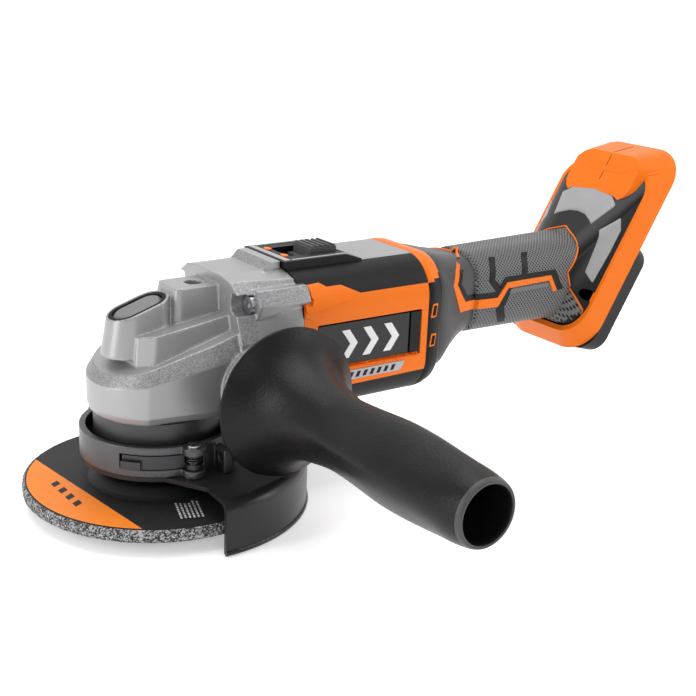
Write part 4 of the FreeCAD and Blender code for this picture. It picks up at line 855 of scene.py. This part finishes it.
for i in range(3):
    s0 = 60 + 6.5 * i
    corners = [(foot_x + along_foot * s + across_foot * n, foot_z + across_foot * s - along_foot * n)
               for s, n in ((s0, 11.0), (s0 + 3.2, 11.0), (s0 + 3.2, 15.5), (s0, 15.5))]
    both_sides("rail_mark_%d" % i, rail_skin, corners, 0.12, "plate_plastic", plate_white, edge=0)

# ---------------------------------------------------------------- side handle
# Hollow glass-filled nylon moulding with a trumpet-shaped hand guard. Shallow flutes run along
# the stem and fade out before the plain, chamfered end.
handle_nylon = surface("handle_nylon", (0.004, 0.004, 0.0045), (0.009, 0.009, 0.0095), 0.31,
                       grain=1300, depth=0.55, reach=0.0003)
handle_low, handle_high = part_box("side_handle")
handle_x = (handle_low.x + handle_high.x) / 2 / MM
handle_z = (handle_low.z + handle_high.z) / 2 / MM
flange_r = (handle_high.x - handle_low.x) / 2 / MM
handle_end = -handle_low.y / MM
handle_base = -handle_high.y / MM
handle_outline = [
    (4.0, handle_base), (16.3, handle_base), (16.5, handle_base + 0.3), (16.5, handle_base + 7.5),
    (18.0, handle_base + 9.0), (25.0, handle_base + 13.5), (flange_r - 1.6, handle_base + 19.4),
    (flange_r - 0.4, handle_base + 20.1), (flange_r, handle_base + 21.0),
    (flange_r - 0.3, handle_base + 21.8), (flange_r - 1.8, handle_base + 22.7),
    (30.0, 62.3), (26.8, 65.4), (23.8, 69.9), (21.2, 75.0), (19.2, 81.0), (17.7, 88.0),
    (16.7, 95.0), (16.4, 101.0), (16.6, 108.0), (17.0, 117.0), (17.6, 126.0), (18.2, 134.0),
    (18.4, 140.0), (18.3, 148.0), (17.8, 158.0), (17.0, 167.0), (16.0, 176.0), (15.2, 182.0),
    (14.4, handle_end - 4.0), (14.1, handle_end - 2.4), (13.6, handle_end - 0.7),
    (13.2, handle_end - 0.1), (12.6, handle_end), (11.9, handle_end - 0.2),
    (11.7, handle_end - 1.0), (10.95, handle_end - 94.0), (4.0, handle_end - 94.0)]
side_handle = lathe("side_handle_moulding", handle_outline, 144,
                    lambda x, y, a: Vector((handle_x * MM + x, -a, handle_z * MM + y)))
for vertex in side_handle.data.vertices:
    dx = vertex.co.x / MM - handle_x
    dz = vertex.co.z / MM - handle_z
    far = -vertex.co.y / MM
    r = hypot(dx, dz)
    if 92 < far < handle_end - 12 and r > 12.5:
        fade = min((far - 92) / 14, (handle_end - 12 - far) / 6, 1)
        fade = fade * fade * (3 - 2 * fade)
        dip = (0.5 + 0.5 * cos(4 * (atan2(dz, dx) - radians(128)))) ** 0.8
        k = 1 - 1.9 * fade * dip / r
        vertex.co.x = (handle_x + dx * k) * MM
        vertex.co.z = (handle_z + dz * k) * MM
rounding = side_handle.modifiers.new("rounding", "SUBSURF")
rounding.levels = 1
rounding.render_levels = 1
# Painted highlight: the chamfered rim at the end gets a lighter grey copy of the black nylon.
rim_painted_highlight = surface("handle_rim_painted_highlight", (0.05, 0.05, 0.052), (0.075, 0.075, 0.078), 0.35,
                    grain=1300)
dress(side_handle, handle_nylon, rim_painted_highlight)
for face in side_handle.data.polygons:
    centre = face.center / MM
    if -centre.y > handle_end - 2.0 and hypot(centre.x - handle_x, centre.z - handle_z) > 11.8:
        face.material_index = 1
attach(side_handle, "side_handle")
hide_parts("side_handle")
dress(nodes["side_handle_washer"], seal_rubber)
